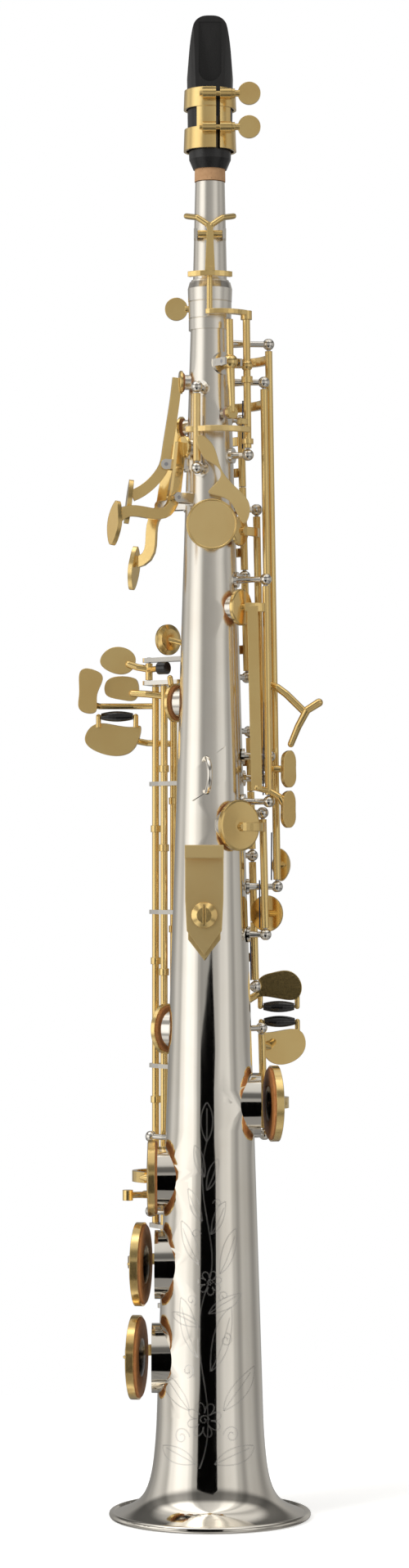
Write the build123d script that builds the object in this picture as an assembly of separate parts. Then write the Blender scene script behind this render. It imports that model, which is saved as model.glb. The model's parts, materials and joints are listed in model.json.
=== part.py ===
from build123d import *
import math
import os
from dataclasses import dataclass

# A straight soprano saxophone: conical silver-plated body, lacquered brass keywork.
# Millimetres. The origin is the centre of the bell mouth on the plane of its rim, +Z runs up
# the bore toward the mouthpiece, -Y is the player's side, and +X is the player's right.
# Azimuths are degrees about +Z from +X, so 90 is the front, 180 the left and -90 the back.

# ---------------------------------------------------------------- driving dimensions
CONE_TAPER = 0.0313            # growth of the outside radius per millimetre down the tube
CONE_REFERENCE_Z = 613.6       # height at which the cone has the reference radius
CONE_REFERENCE_R = 6.8
WALL = 0.8                     # sheet brass of the body
BODY_TOP_Z = 552.0
BELL_JOINT_Z = 48.0            # solder line between body tube and bell flare
BELL_RIM_R = 46.5
RIM_BEAD = 1.6                 # radius of the rolled rim
RIM_FLAT = 0.15                # depth of the flat on which the bell stands

RECEIVER_BOTTOM_Z = 546.0
RECEIVER_TOP_Z = 568.0
RECEIVER_R = 10.25
TENON_R = 8.0
NECK_TOP_Z = 645.0
NECK_BASE_R = 7.8
CORK_BOTTOM_Z = 614.0
CORK_R = 7.1
MOUTHPIECE_BOTTOM_Z = 620.0
MOUTHPIECE_TIP_Z = 689.4
TABLE_Y = -8.2                 # flat lay of the mouthpiece, facing the player

ROD_R = 0.9                    # steel hinge rod
RUNNING_CLEARANCE = 0.05
TUBE_R = 1.7                   # hinge tube outside
POST_BALL_R = 2.7
POST_STEM_R = 1.35
POST_FOOT_R = 3.6
SEAT_GAP = 0.03                # closed pad to tone-hole rim
CUP_SHEET = 0.8
GLUE_GAP = 0.02                # shellac film between pad and cup
CUP_CROWN = 0.4                # doming of the cup's back
CUP_BEVEL = 0.4
PAD_SHOW = 1.0                 # height of pad leather below the cup skirt

THUMB_REST_Z = 455.4
THUMB_REST_X = 0.8
THUMB_REST_R = 11.7

# neck clamp and neck key
CLAMP_Y = 11.6
CLAMP_Z = 557.6
NECK_KEY_Z = 589.0
NECK_KEY_Y = -9.4

# mouthpiece
BEAK_Z = 656.0                 # height at which the beak starts to slope
WINDOW_BOTTOM_Z = 664.5
WINDOW_TOP_Z = 686.4
WINDOW_HALF = 5.2
TIP_THICKNESS = 1.3

# ligature
LIGATURE_TOP_Z = 656.2
LIGATURE_BOTTOM_Z = 628.3
LIGATURE_SHEET = 0.8
LIGATURE_SCREWS_Z = (652.5, 637.2)
LIGATURE_SCREW_Y = -13.6
LIGATURE_GAP_X = 3.7

# thumb hook
HOOK_X = -2.6
HOOK_TOP_Z = 309.0
HOOK_TIP_Z = 259.0
HOOK_SCREW_Z = 277.2

# rod brackets
BRACKET_ROOT = 3.4             # half width of a bracket where it meets the body
BRACKET_EYE_R = 3.0
GUIDE_R = TUBE_R + 0.1         # eye that lets a long hinge tube turn in it

# octave vents and mechanism
VENT_R = 2.0
VENT_BORE_R = 0.8
VENT_RISE = 3.0
NECK_RING_R = 14.4
ROCKER_PIN_R = 11.9            # the pin stands inside the neck key's ring
BODY_OCTAVE_PIVOT_Z = 530.0
BODY_OCTAVE_AZIMUTH = -52
BODY_OCTAVE_OFFSET = 5.6

# key touches
SIDE_TOUCH_HEIGHT = 17.0
TABLE_Y_FACE = 30.0            # front faces of the left little-finger plates
RIGHT_TABLE_Y = 30.0
AXLE_R = 0.7                   # axle of a little-finger roller
LUG_R = 1.2
LUG_OFFSET = 1.4               # centre of a roller's lug beyond the roller's end
COLLAR_R = 2.35
COLLAR_HALF = 1.6
PALM_ROOT_WIDTH = 4.4
PALM_TIP_WIDTH = 5.2


# ---------------------------------------------------------------- geometry helpers
def body_radius(z):
    """Outside radius of the conical tube at height z."""
    return CONE_REFERENCE_R + (CONE_REFERENCE_Z - z) * CONE_TAPER


def polar(azimuth, radius, z):
    """Point at an azimuth in degrees, a distance from the bore axis and a height."""
    angle = math.radians(azimuth)
    return Vector(radius * math.cos(angle), radius * math.sin(angle), z)


def beam(start, end, radius, end_radius=None):
    """Round bar between two points, tapered when end_radius is given."""
    start = Vector(start)
    span = Vector(end) - start
    base = (Align.CENTER, Align.CENTER, Align.MIN)
    plane = Plane(origin=start, z_dir=span)
    if end_radius is None or abs(end_radius - radius) < 1e-6:
        return plane * Cylinder(radius, span.length, align=base)
    return plane * Cone(radius, end_radius, span.length, align=base)


def ball(centre, radius):
    """Sphere about a point."""
    return Pos(*Vector(centre)) * Sphere(radius)


def strut(points, radius, end_radius=None, free_start=False):
    """Bent round bar through the points, with ball corners; a free start gets a ball too."""
    last = len(points) - 1
    end_radius = radius if end_radius is None else end_radius
    sizes = [radius + (end_radius - radius) * i / last for i in range(last + 1)]
    solid = beam(points[0], points[1], sizes[0], sizes[1])
    if free_start:
        solid += ball(points[0], sizes[0])
    for i in range(1, last):
        solid += ball(points[i], sizes[i])
        solid += beam(points[i], points[i + 1], sizes[i], sizes[i + 1])
    return solid + ball(points[last], sizes[last])


def spiral(start, end, bulge=0.0, steps=10):
    """Plan points from (azimuth, radius) to (azimuth, radius), swelling outward by bulge."""
    points = []
    for i in range(steps + 1):
        t = i / steps
        azimuth = start[0] + (end[0] - start[0]) * t
        radius = start[1] + (end[1] - start[1]) * t + bulge * math.sin(math.pi * t)
        angle = math.radians(azimuth)
        points.append((radius * math.cos(angle), radius * math.sin(angle)))
    return points


def ribbon(points, z, width, depth, end_width=None):
    """Bar that follows plan points at height z: width across the path, depth along Z."""
    end_width = width if end_width is None else end_width
    last = len(points) - 1
    left, right = [], []
    for i, (x, y) in enumerate(points):
        x0, y0 = points[max(i - 1, 0)]
        x1, y1 = points[min(i + 1, last)]
        length = math.hypot(x1 - x0, y1 - y0)
        half = (width + (end_width - width) * i / last) / 2
        nx, ny = -(y1 - y0) / length * half, (x1 - x0) / length * half
        left.append((x + nx, y + ny))
        right.append((x - nx, y - ny))
    face = make_face(Polyline(*left, *reversed(right), close=True))
    return Pos(0, 0, z - depth / 2) * extrude(face, amount=depth)


def lathe(profile):
    """Solid of revolution about Z from (radius, height) points."""
    face = make_face(Plane.XZ * Polyline(*profile, close=True))
    return revolve(face, Axis.Z)


def outline_plate(points, plane, thickness, smooth=True):
    """Flat plate with a closed outline drawn on a plane, thickened along its normal."""
    wire = Spline(*points, periodic=True) if smooth else Polyline(*points, close=True)
    return extrude(plane * make_face(wire), amount=thickness)


def join(parts):
    """Fuse a list of solids."""
    solid = parts[0]
    for part in parts[1:]:
        solid += part
    return solid


# ---------------------------------------------------------------- hinge lines
@dataclass
class Line:
    """Axis of a hinge rod, through a low point and a high point."""
    low: tuple
    high: tuple

    def at(self, z):
        t = (z - self.low[2]) / (self.high[2] - self.low[2])
        return Vector(self.low) + (Vector(self.high) - Vector(self.low)) * t

    @property
    def axis(self):
        return (Vector(self.high) - Vector(self.low)).normalized()

    def polar_at(self, z):
        point = self.at(z)
        return math.degrees(math.atan2(point.Y, point.X)), math.hypot(point.X, point.Y)


def beside_body(azimuth, offset, z_low, z_high):
    """Hinge line that follows the taper of the body at a fixed azimuth."""
    low = polar(azimuth, body_radius(z_low) + offset, z_low)
    high = polar(azimuth, body_radius(z_high) + offset, z_high)
    return Line(tuple(low), tuple(high))


LOW_B_LINE = Line((-21.5, 26.5, 96.0), (-21.5, 26.5, 385.0))
LOW_BB_LINE = Line((-17.0, 31.0, 56.0), (-17.0, 31.0, 385.0))
LOW_C_SHARP_LEVER_LINE = Line((-25.5, 34.0, 128.0), (-25.5, 34.0, 385.0))
LOW_C_SHARP_LINE = Line((-27.5, 21.3, 138.0), (-27.5, 21.3, 174.0))
LOW_C_LINE = Line((25.5, 21.8, 172.0), (24.0, 21.3, 226.0))
LOW_EB_LINE = Line((0.0, 28.5, 205.0), (0.0, 28.0, 237.0))
LOWER_STACK_LINE = beside_body(38, 8.5, 243.5, 362.0)
UPPER_STACK_LINE = beside_body(38, 8.0, 387.0, 506.0)
G_SHARP_LINE = Line((-1.0, 22.0, 363.4), (-1.0, 21.6, 386.4))
G_SHARP_LEVER_LINE = Line((-28.5, 26.5, 385.0), (-28.5, 26.5, 396.0))
HIGH_E_LINE = Line((27.4, -1.5, 350.0), (24.8, -1.5, 522.0))
SIDE_C_LINE = Line((24.0, 5.0, 340.0), (21.5, 5.0, 464.0))
SIDE_BB_LINE = Line((27.0, -7.0, 329.0), (25.6, -7.0, 431.0))
HIGH_F_SHARP_LINE = Line((31.0, 2.5, 290.0), (27.0, 2.5, 540.0))
TRILL_LINE = Line((25.6, -2.4, 268.0), (24.2, -2.6, 326.0))
OCTAVE_LEVER_LINE = Line((-6.0, -15.4, 481.2), (-6.0, -14.6, 518.4))
OCTAVE_ROCKER_LINE = Line((17.4, -7.0, 488.0), (16.6, -7.0, 556.0))


# ---------------------------------------------------------------- tone holes
@dataclass
class Hole:
    """Drawn tone hole: height, azimuth, outside radius of the chimney, rise, and its cup."""
    z: float
    azimuth: float
    radius: float
    rise: float
    cup_radius: float
    cup_height: float

    @property
    def rim(self):
        return body_radius(self.z) + self.rise

    @property
    def cup_top(self):
        return self.rim + SEAT_GAP + self.cup_height

    @property
    def seat(self):
        normal = polar(self.azimuth, 1, 0)
        return Plane(origin=polar(self.azimuth, self.rim + SEAT_GAP, self.z), x_dir=(0, 0, 1), z_dir=normal)


HOLES = {
    "low_bb": Hole(73.0, 180, 16.0, 3.1, 19.4, 5.4),
    "low_b": Hole(116.0, 180, 15.8, 3.1, 19.3, 5.4),
    "low_c_sharp": Hole(156.0, 180, 14.4, 3.0, 17.7, 5.0),
    "low_c": Hole(190.0, 0, 14.3, 3.4, 17.5, 5.2),
    "low_eb": Hole(224.0, 147, 9.0, 3.0, 11.7, 3.8),
    "d": Hole(257.0, 90, 9.6, 2.8, 12.2, 3.6),
    "e": Hole(289.0, 90, 9.0, 2.7, 11.5, 3.6),
    "f": Hole(320.0, 90, 8.4, 2.6, 10.9, 3.5),
    "f_sharp_trill": Hole(318.0, -50, 8.6, 2.6, 11.7, 3.6),
    "f_sharp": Hole(348.0, 90, 7.6, 2.5, 9.9, 3.4),
    "g_sharp": Hole(375.0, 150, 6.8, 2.5, 9.0, 3.3),
    "g": Hole(400.0, 90, 7.0, 2.4, 9.2, 3.3),
    "side_bb": Hole(418.0, -34, 5.6, 2.4, 8.4, 3.2),
    "bis": Hole(423.0, 90, 4.4, 2.4, 6.6, 3.0),
    "a": Hole(445.0, 90, 5.8, 2.3, 7.8, 3.0),
    "side_c": Hole(453.0, -30, 4.8, 2.3, 6.8, 3.0),
    "b": Hole(466.0, 90, 5.0, 2.3, 6.9, 2.9),
    "c_vent": Hole(482.0, 90, 3.2, 2.3, 5.0, 2.8),
    "palm_d": Hole(491.5, 214, 3.6, 2.2, 5.2, 2.8),
    "palm_eb": Hole(502.0, 158, 3.4, 2.2, 5.0, 2.8),
    "palm_f": Hole(522.0, 187, 3.4, 2.2, 5.3, 2.8),
    "high_e": Hole(512.0, 80, 3.4, 2.2, 5.2, 2.8),
    "high_f_sharp": Hole(533.0, 80, 3.0, 2.2, 4.8, 2.7),
}

# Travel of each key in degrees about its hinge axis when it is pressed.
OPEN_TRAVEL = {
    "low_bb": 8.5,
    "low_b": 8.5,
    "low_c": -9.0,
    "d": 7.0,
    "e": 7.0,
    "f": 7.0,
    "f_sharp": 7.0,
    "g": 7.0,
    "bis": 6.0,
    "a": 7.0,
    "b": 7.0,
    "c_vent": 7.0,
}

OCTAVE_VENTS = {
    "body": (507.0, -52),
}


# ---------------------------------------------------------------- key pieces
def hinge_tube(line, z_low, z_high, radius=TUBE_R):
    return beam(line.at(z_low), line.at(z_high), radius)


def drill(solid, line):
    """Bore a key blank for its rod, with running clearance, along the whole hinge line."""
    below = line.at(line.low[2] - 6)
    above = line.at(line.high[2] + 6)
    return solid - beam(below, above, ROD_R + RUNNING_CLEARANCE)


def swing(solid, line, angle):
    """Turn a solid about a hinge line by the right-hand rule."""
    return solid.rotate(Axis(tuple(line.at(line.low[2])), tuple(line.axis)), angle)


def cup(hole):
    """Pad cup in its closed place over a tone hole."""
    height, radius = hole.cup_height, hole.cup_radius
    ceiling = height - CUP_CROWN - CUP_SHEET
    profile = [
        (0, height),
        (radius * 0.3, height),
        (radius * 0.92, height - CUP_CROWN),
        (radius, height - CUP_CROWN - CUP_BEVEL),
        (radius, PAD_SHOW),
        (radius - CUP_SHEET, PAD_SHOW),
        (radius - CUP_SHEET, ceiling),
        (0, ceiling),
    ]
    return hole.seat * lathe(profile)


def pad(hole):
    """Leather pad with a domed resonator in its middle."""
    radius = hole.cup_radius - CUP_SHEET - GLUE_GAP
    top = hole.cup_height - CUP_CROWN - CUP_SHEET - GLUE_GAP
    dome = hole.radius * 0.55
    profile = [
        (0, -0.7),
        (dome * 0.6, -0.5),
        (dome, 0),
        (radius - 0.6, 0),
        (radius, 0.5),
        (radius, top),
        (0, top),
    ]
    return hole.seat * lathe(profile)


def cup_arm(line, hole, z=None, bulge=1.0, width=2.4, depth=4.0, tip=1.6):
    """Curved bar from a hinge line over the top of a cup, pointed at the cup's centre."""
    z = hole.z if z is None else z
    start = line.polar_at(z)
    end_azimuth = hole.azimuth
    if end_azimuth - start[0] > 180:
        end_azimuth -= 360
    end = (end_azimuth, hole.cup_top + tip / 2 - 0.3)
    boss = beam(polar(hole.azimuth, hole.cup_top - 0.5, z), polar(hole.azimuth, hole.cup_top + 1.2, z), 1.5)
    return ribbon(spiral(start, end, bulge), z, width, depth, tip) + boss


def pearl_holder(centre, direction, radius=6.6):
    """Round cup that carries a finger pearl, facing along direction."""
    plane = Plane(origin=Vector(centre), z_dir=Vector(direction))
    profile = [(0, 0), (radius * 0.7, 0), (radius, 1.0), (radius, 2.4), (radius - 0.8, 2.4),
               (radius - 0.8, 1.2), (0, 1.2)]
    return plane * lathe(profile)


def pearl(centre, direction, radius=6.6):
    """Concave finger button seated in its holder."""
    plane = Plane(origin=Vector(centre), z_dir=Vector(direction))
    inner = radius - 0.82
    profile = [(0, 1.2), (inner, 1.2), (inner, 2.7), (inner * 0.85, 3.0), (inner * 0.5, 2.6), (0, 2.4)]
    return plane * lathe(profile)


def post(point, axis, base_radius=None, foot=True):
    """Ball post: a foot soldered to the tube, a waisted stem and a drilled ball."""
    point = Vector(point)
    reach = math.hypot(point.X, point.Y)
    azimuth = math.degrees(math.atan2(point.Y, point.X))
    base = body_radius(point.Z) if base_radius is None else base_radius
    root = polar(azimuth, base - 1.5, point.Z)
    shelf = polar(azimuth, base + 1.0, point.Z)
    neck = polar(azimuth, (base + reach) / 2, point.Z)
    solid = beam(root, neck, POST_STEM_R * 1.5, POST_STEM_R)
    solid += beam(neck, point, POST_STEM_R)
    if foot:
        solid += beam(root, shelf, POST_FOOT_R)
    solid += ball(point, POST_BALL_R)
    hole = beam(point - Vector(axis) * 8, point + Vector(axis) * 8, ROD_R)
    return solid - hole


def seated(solid):
    """Trim a fitting so that it sits on the outside of the tube."""
    return solid - outer_cone()


def outer_cone(z_low=BELL_JOINT_Z, z_high=BODY_TOP_Z):
    """Solid inside the outside surface of the conical tube."""
    profile = [(0, z_low), (body_radius(z_low), z_low), (body_radius(z_high), z_high), (0, z_high)]
    return lathe(profile)


# ---------------------------------------------------------------- body, bell and neck
def make_body_tube():
    """Conical tube with its drawn tone holes and the hole for the octave vent."""
    outside = outer_cone()
    bore = [(0, BELL_JOINT_Z), (body_radius(BELL_JOINT_Z) - WALL, BELL_JOINT_Z),
            (body_radius(BODY_TOP_Z) - WALL, BODY_TOP_Z), (0, BODY_TOP_Z)]
    inside = lathe(bore)
    for hole in HOLES.values():
        start = polar(hole.azimuth, body_radius(hole.z) * 0.4, hole.z)
        end = polar(hole.azimuth, hole.rim, hole.z)
        beyond = polar(hole.azimuth, hole.rim + 1, hole.z)
        outside += beam(start, end, hole.radius)
        inside += beam(start, beyond, hole.radius - WALL)
    for z, azimuth in OCTAVE_VENTS.values():
        inside += beam(polar(azimuth, 1, z), polar(azimuth, body_radius(z) + 2, z), VENT_R)
    return outside - inside


def make_bell_flare():
    """Spun bell flare below the body tube."""
    joint_r = body_radius(BELL_JOINT_Z)
    mouth_r = BELL_RIM_R - RIM_BEAD
    curve = [(joint_r, BELL_JOINT_Z), (25.9, 27.7), (28.0, 16.4), (32.0, 8.6), (38.0, 4.4), (mouth_r, 2.1)]
    inner = [(x - WALL * 0.9, z - WALL * (1 - z / BELL_JOINT_Z)) for x, z in curve]
    outer_edge = Spline(*curve, tangents=((0.03, -1), (1, -0.25)))
    inner_edge = Spline(*inner, tangents=((0.03, -1), (1, -0.25)))
    top = edge_between(inner[0], curve[0])
    lip = edge_between(inner[-1], curve[-1])
    face = make_face(Plane.XZ * (outer_edge + inner_edge + top + lip))
    return revolve(face, Axis.Z)


def edge_between(start, end):
    """Straight edge between two plan points."""
    return Polyline(start, end)


def make_bell_rim():
    """Rolled bead around the bell mouth, flatted underneath where it stands."""
    middle_r = BELL_RIM_R - RIM_BEAD
    circle = Plane.XZ * (Pos(middle_r, RIM_BEAD - RIM_FLAT) * Circle(RIM_BEAD))
    below = Pos(0, 0, -RIM_BEAD / 2) * Cylinder(BELL_RIM_R + RIM_BEAD, RIM_BEAD)
    return revolve(circle, Axis.Z) - below - make_bell_flare()


def make_neck_receiver():
    """Socket on top of the body that the neck slides into, with its clamp lug."""
    body_top = body_radius(RECEIVER_BOTTOM_Z)
    profile = [
        (body_top, RECEIVER_BOTTOM_Z),
        (9.8, RECEIVER_BOTTOM_Z),
        (9.8, 550.8),
        (9.5, 551.1),
        (9.8, 551.4),
        (9.95, 558.6),
        (9.7, 558.9),
        (10.05, 559.2),
        (RECEIVER_R, 565.0),
        (9.6, 567.2),
        (9.4, RECEIVER_TOP_Z),
        (TENON_R, RECEIVER_TOP_Z),
        (TENON_R, BODY_TOP_Z),
        (body_radius(BODY_TOP_Z), BODY_TOP_Z),
    ]
    socket = lathe(profile)
    lug = Pos(0, CLAMP_Y - 0.2, CLAMP_Z) * Box(7.0, 4.6, 7.0)
    lug -= Pos(0, 0, CLAMP_Z) * Cylinder(9.4, 20)
    slot = Pos(0, CLAMP_Y, 562) * Box(0.8, 8, 17)
    return socket + lug - slot - beam((-8, CLAMP_Y, CLAMP_Z), (8, CLAMP_Y, CLAMP_Z), 1.55)


def make_neck_clamp_screw():
    """Thumbscrew that closes the split receiver around the neck."""
    y, z = CLAMP_Y, CLAMP_Z
    screw = beam((-3.8, y, z), (5.4, y, z), 1.5)
    collar = beam((-5.2, y, z), (-3.6, y, z), 2.3)
    stalk = beam((-11.5, y, z), (-5.0, y, z), 1.5)
    thumb = Pos(-15.6, y, z) * Rot(90, 0, 0) * Cylinder(5.3, 1.7)
    return screw + collar + stalk + thumb


def make_neck_tube():
    """Straight detachable neck with its tenon, its octave pip and the two hinge lugs."""
    profile = [
        (TENON_R - 0.02, BODY_TOP_Z + 0.1),
        (TENON_R - 0.02, RECEIVER_TOP_Z),
        (NECK_BASE_R + 0.9, RECEIVER_TOP_Z),
        (NECK_BASE_R + 0.9, RECEIVER_TOP_Z + 0.9),
        (NECK_BASE_R, RECEIVER_TOP_Z + 1.2),
        (6.8, CORK_BOTTOM_Z),
        (6.1, CORK_BOTTOM_Z + 0.4),
        (5.6, NECK_TOP_Z),
        (4.9, NECK_TOP_Z),
        (6.1, CORK_BOTTOM_Z - 1),
        (6.6, RECEIVER_TOP_Z),
        (6.9, BODY_TOP_Z + 0.1),
    ]
    neck = lathe(profile)
    neck += beam((0, 6.6, 600), (0, 9.6, 600), 1.7)
    neck -= beam((0, 5.0, 600), (0, 11.0, 600), 0.7)
    for x in (-6.6, 6.6):
        lug = Pos(x, -7.6, NECK_KEY_Z) * Box(1.6, 6.6, 4.6)
        neck += lug - Pos(0, 0, NECK_KEY_Z) * Cylinder(6.6, 20)
    return neck - beam((-9, NECK_KEY_Y, NECK_KEY_Z), (9, NECK_KEY_Y, NECK_KEY_Z), ROD_R)




def make_neck_cork():
    """Cork sleeve on the neck that the mouthpiece pushes onto."""
    profile = [(6.12, CORK_BOTTOM_Z + 0.41), (CORK_R, CORK_BOTTOM_Z + 0.41), (CORK_R - 0.3, NECK_TOP_Z - 2),
               (5.66, NECK_TOP_Z - 2)]
    return lathe(profile)


def make_mouthpiece():
    """Hard-rubber mouthpiece with a flat lay, a window over the chamber and a slanted beak."""
    shank = lathe([
        (0, MOUTHPIECE_BOTTOM_Z),
        (7.7, MOUTHPIECE_BOTTOM_Z),
        (9.6, MOUTHPIECE_BOTTOM_Z + 4.5),
        (9.7, MOUTHPIECE_BOTTOM_Z + 7.0),
        (10.3, 640.0),
        (10.5, BEAK_Z),
        (0, BEAK_Z),
    ])
    round_bar = lathe([(0, BEAK_Z), (10.5, BEAK_Z), (11.2, MOUTHPIECE_TIP_Z), (0, MOUTHPIECE_TIP_Z)])
    solid = shank + (round_bar & beak_side() & beak_front())
    solid -= Pos(0, TABLE_Y - 10, 672) * Box(40, 20, 58)
    bore = CORK_R + 0.02
    solid -= lathe([(0, 615), (bore, 615), (bore, NECK_TOP_Z), (5.0, NECK_TOP_Z + 1), (5.0, 655), (0, 655)])
    return solid - mouthpiece_window()


def beak_side():
    """Block with the beak's side profile: straight lay, slanted top."""
    profile = Polyline((TABLE_Y - 1, BEAK_Z), (TABLE_Y - 1, MOUTHPIECE_TIP_Z),
                       (TABLE_Y + TIP_THICKNESS, MOUTHPIECE_TIP_Z), (9.9, BEAK_Z + 1.5), (11.0, BEAK_Z),
                       close=True)
    return Pos(-15, 0, 0) * extrude(Plane.YZ * make_face(profile), amount=30)


def beak_front():
    """Block with the beak's front outline, rounded at the tip."""
    side = [(11.0, BEAK_Z), (10.2, 666.0), (9.3, 676.0), (8.2, 683.0), (6.8, 686.8), (4.2, 688.8)]
    right = Spline(*side, (0, MOUTHPIECE_TIP_Z), tangents=((-0.05, 1), (-1, 0)))
    left = Spline(*[(-x, z) for x, z in side], (0, MOUTHPIECE_TIP_Z), tangents=((0.05, 1), (1, 0)))
    foot = Polyline((-11.0, BEAK_Z), (11.0, BEAK_Z))
    return Pos(0, 15, 0) * extrude(Plane.XZ * make_face(right + left + foot), amount=30)


def mouthpiece_window():
    """Wedge cut through the lay, deep at its round bottom and shallow at the tip."""
    foot_z = WINDOW_BOTTOM_Z - WINDOW_HALF
    wedge = Polyline((TABLE_Y - 1, foot_z), (TABLE_Y + 5.5, foot_z),
                     (TABLE_Y + 0.6, WINDOW_TOP_Z), (TABLE_Y - 1, WINDOW_TOP_Z), close=True)
    block = Pos(-15, 0, 0) * extrude(Plane.YZ * make_face(wedge), amount=30)
    middle_z = (WINDOW_BOTTOM_Z + WINDOW_TOP_Z) / 2
    shape = Pos(0, 0, middle_z) * Box(2 * WINDOW_HALF, 30, WINDOW_TOP_Z - WINDOW_BOTTOM_Z)
    shape += Pos(0, 0, WINDOW_BOTTOM_Z) * Rot(90, 0, 0) * Cylinder(WINDOW_HALF, 30)
    return block & shape


def make_ligature():
    """Two sheet bands joined by straps, split on the lay side, with screw barrels."""
    upper = 11.0
    rings = []
    for z_low, z_high in ((LIGATURE_BOTTOM_Z, 638.3), (647.4, LIGATURE_TOP_Z)):
        profile = [(upper, z_low), (upper + LIGATURE_SHEET + 0.35, z_low),
                   (upper + LIGATURE_SHEET, z_high), (upper, z_high)]
        rings.append(lathe(profile))
    middle = lathe([(upper, 638.3), (upper + 0.8, 638.3), (upper + 0.8, 647.4), (upper, 647.4)])
    rings.append(middle & (Pos(0, 11.4, 642.8) * Box(12, 4, 9.3)))
    for x, width in ((-1.6, 9.0), (LIGATURE_GAP_X + 3.0, 5.4)):
        strap = middle & (Pos(x, -11, 642.8) * Box(width, 12, 9.3))
        rings.append(strap)
    band = join(rings)
    for z in LIGATURE_SCREWS_Z:
        for x_low, x_high in ((-3.4, LIGATURE_GAP_X - 0.9), (LIGATURE_GAP_X + 0.9, LIGATURE_GAP_X + 6.2)):
            barrel = beam((x_low, LIGATURE_SCREW_Y, z), (x_high, LIGATURE_SCREW_Y, z), 2.5)
            lug = Pos((x_low + x_high) / 2, -11.9, z) * Box(x_high - x_low, 1.8, 5.0)
            band += barrel + lug
    band -= Pos(LIGATURE_GAP_X, -14, 642) * Box(1.8, 12, 40)
    band -= Pos(0, 0, 642) * Cylinder(upper, 40)
    for z in LIGATURE_SCREWS_Z:
        band -= beam((-8, LIGATURE_SCREW_Y, z), (14, LIGATURE_SCREW_Y, z), 1.25)
    return band


def make_ligature_screw(z):
    """Thumbscrew of the ligature, its flat head to the player's right."""
    y = LIGATURE_SCREW_Y
    screw = beam((-4.8, y, z), (10.6, y, z), 1.2)
    collar = beam((10.0, y, z), (11.4, y, z), 2.2)
    stalk = beam((11.3, y, z), (13.6, y, z), 1.5)
    thumb = Pos(17.9, y, z) * Rot(90, 0, 0) * Cylinder(5.2, 1.7)
    return screw + collar + stalk + thumb


# ---------------------------------------------------------------- fittings on the body
def make_thumb_rest():
    """Round plate for the left thumb on a short stem."""
    base = body_radius(THUMB_REST_Z)
    y = -(base + 3.6)
    stem = beam((THUMB_REST_X, -base + 3, THUMB_REST_Z), (THUMB_REST_X, y, THUMB_REST_Z), 4.0)
    disc = Pos(THUMB_REST_X, y - 1.0, THUMB_REST_Z) * Rot(90, 0, 0) * Cylinder(THUMB_REST_R, 2.0)
    disc = fillet(disc.edges().filter_by(GeomType.CIRCLE), 0.7)
    return seated(stem) + disc


def make_strap_ring():
    """Saddle plate with an upright oval loop for the neck strap."""
    outline = [(-9.3, -10.2), (6.3, -1.0), (6.3, 14.6), (-9.3, 3.6)]
    centre_z = 341.0
    face = make_face(Polyline(*outline, close=True))
    front = Plane(origin=(1.0, 0, centre_z - 1.5), x_dir=(1, 0, 0), z_dir=(0, -1, 0))
    slab = extrude(front * face, amount=40)
    shell = lathe([(body_radius(315), 315), (body_radius(315) + 0.9, 315),
                   (body_radius(370) + 0.9, 370), (body_radius(370), 370)])
    plate = slab & shell
    loop_plane = Plane(origin=(-1.7, -body_radius(centre_z) - 2.0, centre_z), x_dir=(0.26, -0.97, 0),
                       z_dir=(0.97, 0.26, 0))
    ring = sweep_ring(loop_plane, 6.2, 7.6, 1.25)
    return plate + seated(ring)


def sweep_ring(plane, half_width, half_height, wire_radius):
    """Oval ring of round wire on a plane."""
    path = plane * Ellipse(half_width, half_height).edges()[0]
    profile = Plane(origin=path @ 0, z_dir=path % 0) * Circle(wire_radius)
    return sweep(profile, path=path)


def make_thumb_hook_plate():
    """Saddle under the adjustable thumb hook."""
    outline = [(-7.4, 300), (7.4, 300), (7.4, 266), (0, 256.5), (-7.4, 266)]
    slab = extrude(Plane(origin=(HOOK_X, 0, 0), x_dir=(1, 0, 0), z_dir=(0, -1, 0)) * make_face(
        Polyline(*outline, close=True)), amount=40)
    front = -(body_radius(256) + 1.6)
    block = slab & (Pos(0, front + 5, 280) * Box(30, 10, 60))
    block = seated(block)
    return block - beam((HOOK_X, -30, HOOK_SCREW_Z), (HOOK_X, 0, HOOK_SCREW_Z), 1.3)


def make_thumb_hook():
    """Shield-shaped hook plate with a shelf for the right thumb, slotted for its screw."""
    front = -(body_radius(256) + 1.6) - 0.02
    outline = [(-8.8, HOOK_TOP_Z), (8.8, HOOK_TOP_Z), (8.7, 284), (8.0, 270), (0, HOOK_TIP_Z), (-8.0, 270),
               (-8.7, 284)]
    plane = Plane(origin=(HOOK_X, front, 0), x_dir=(1, 0, 0), z_dir=(0, -1, 0))
    plate = extrude(plane * make_face(Polyline(*outline, close=True)), amount=1.8)
    shelf = Pos(HOOK_X, front - 7.5, HOOK_TOP_Z - 1.4) * Box(17.6, 15, 2.8)
    lip = Pos(HOOK_X, front - 14.0, HOOK_TOP_Z - 3.0) * Box(17.6, 2.2, 6.0)
    hook = plate + shelf + lip
    hook = hook - (Pos(HOOK_X, front - 1, HOOK_SCREW_Z) * Box(2.9, 6, 6.4))
    for dz in (-3.2, 3.2):
        hook -= beam((HOOK_X, front - 4, HOOK_SCREW_Z + dz), (HOOK_X, front + 2, HOOK_SCREW_Z + dz), 1.45)
    return hook


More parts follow.
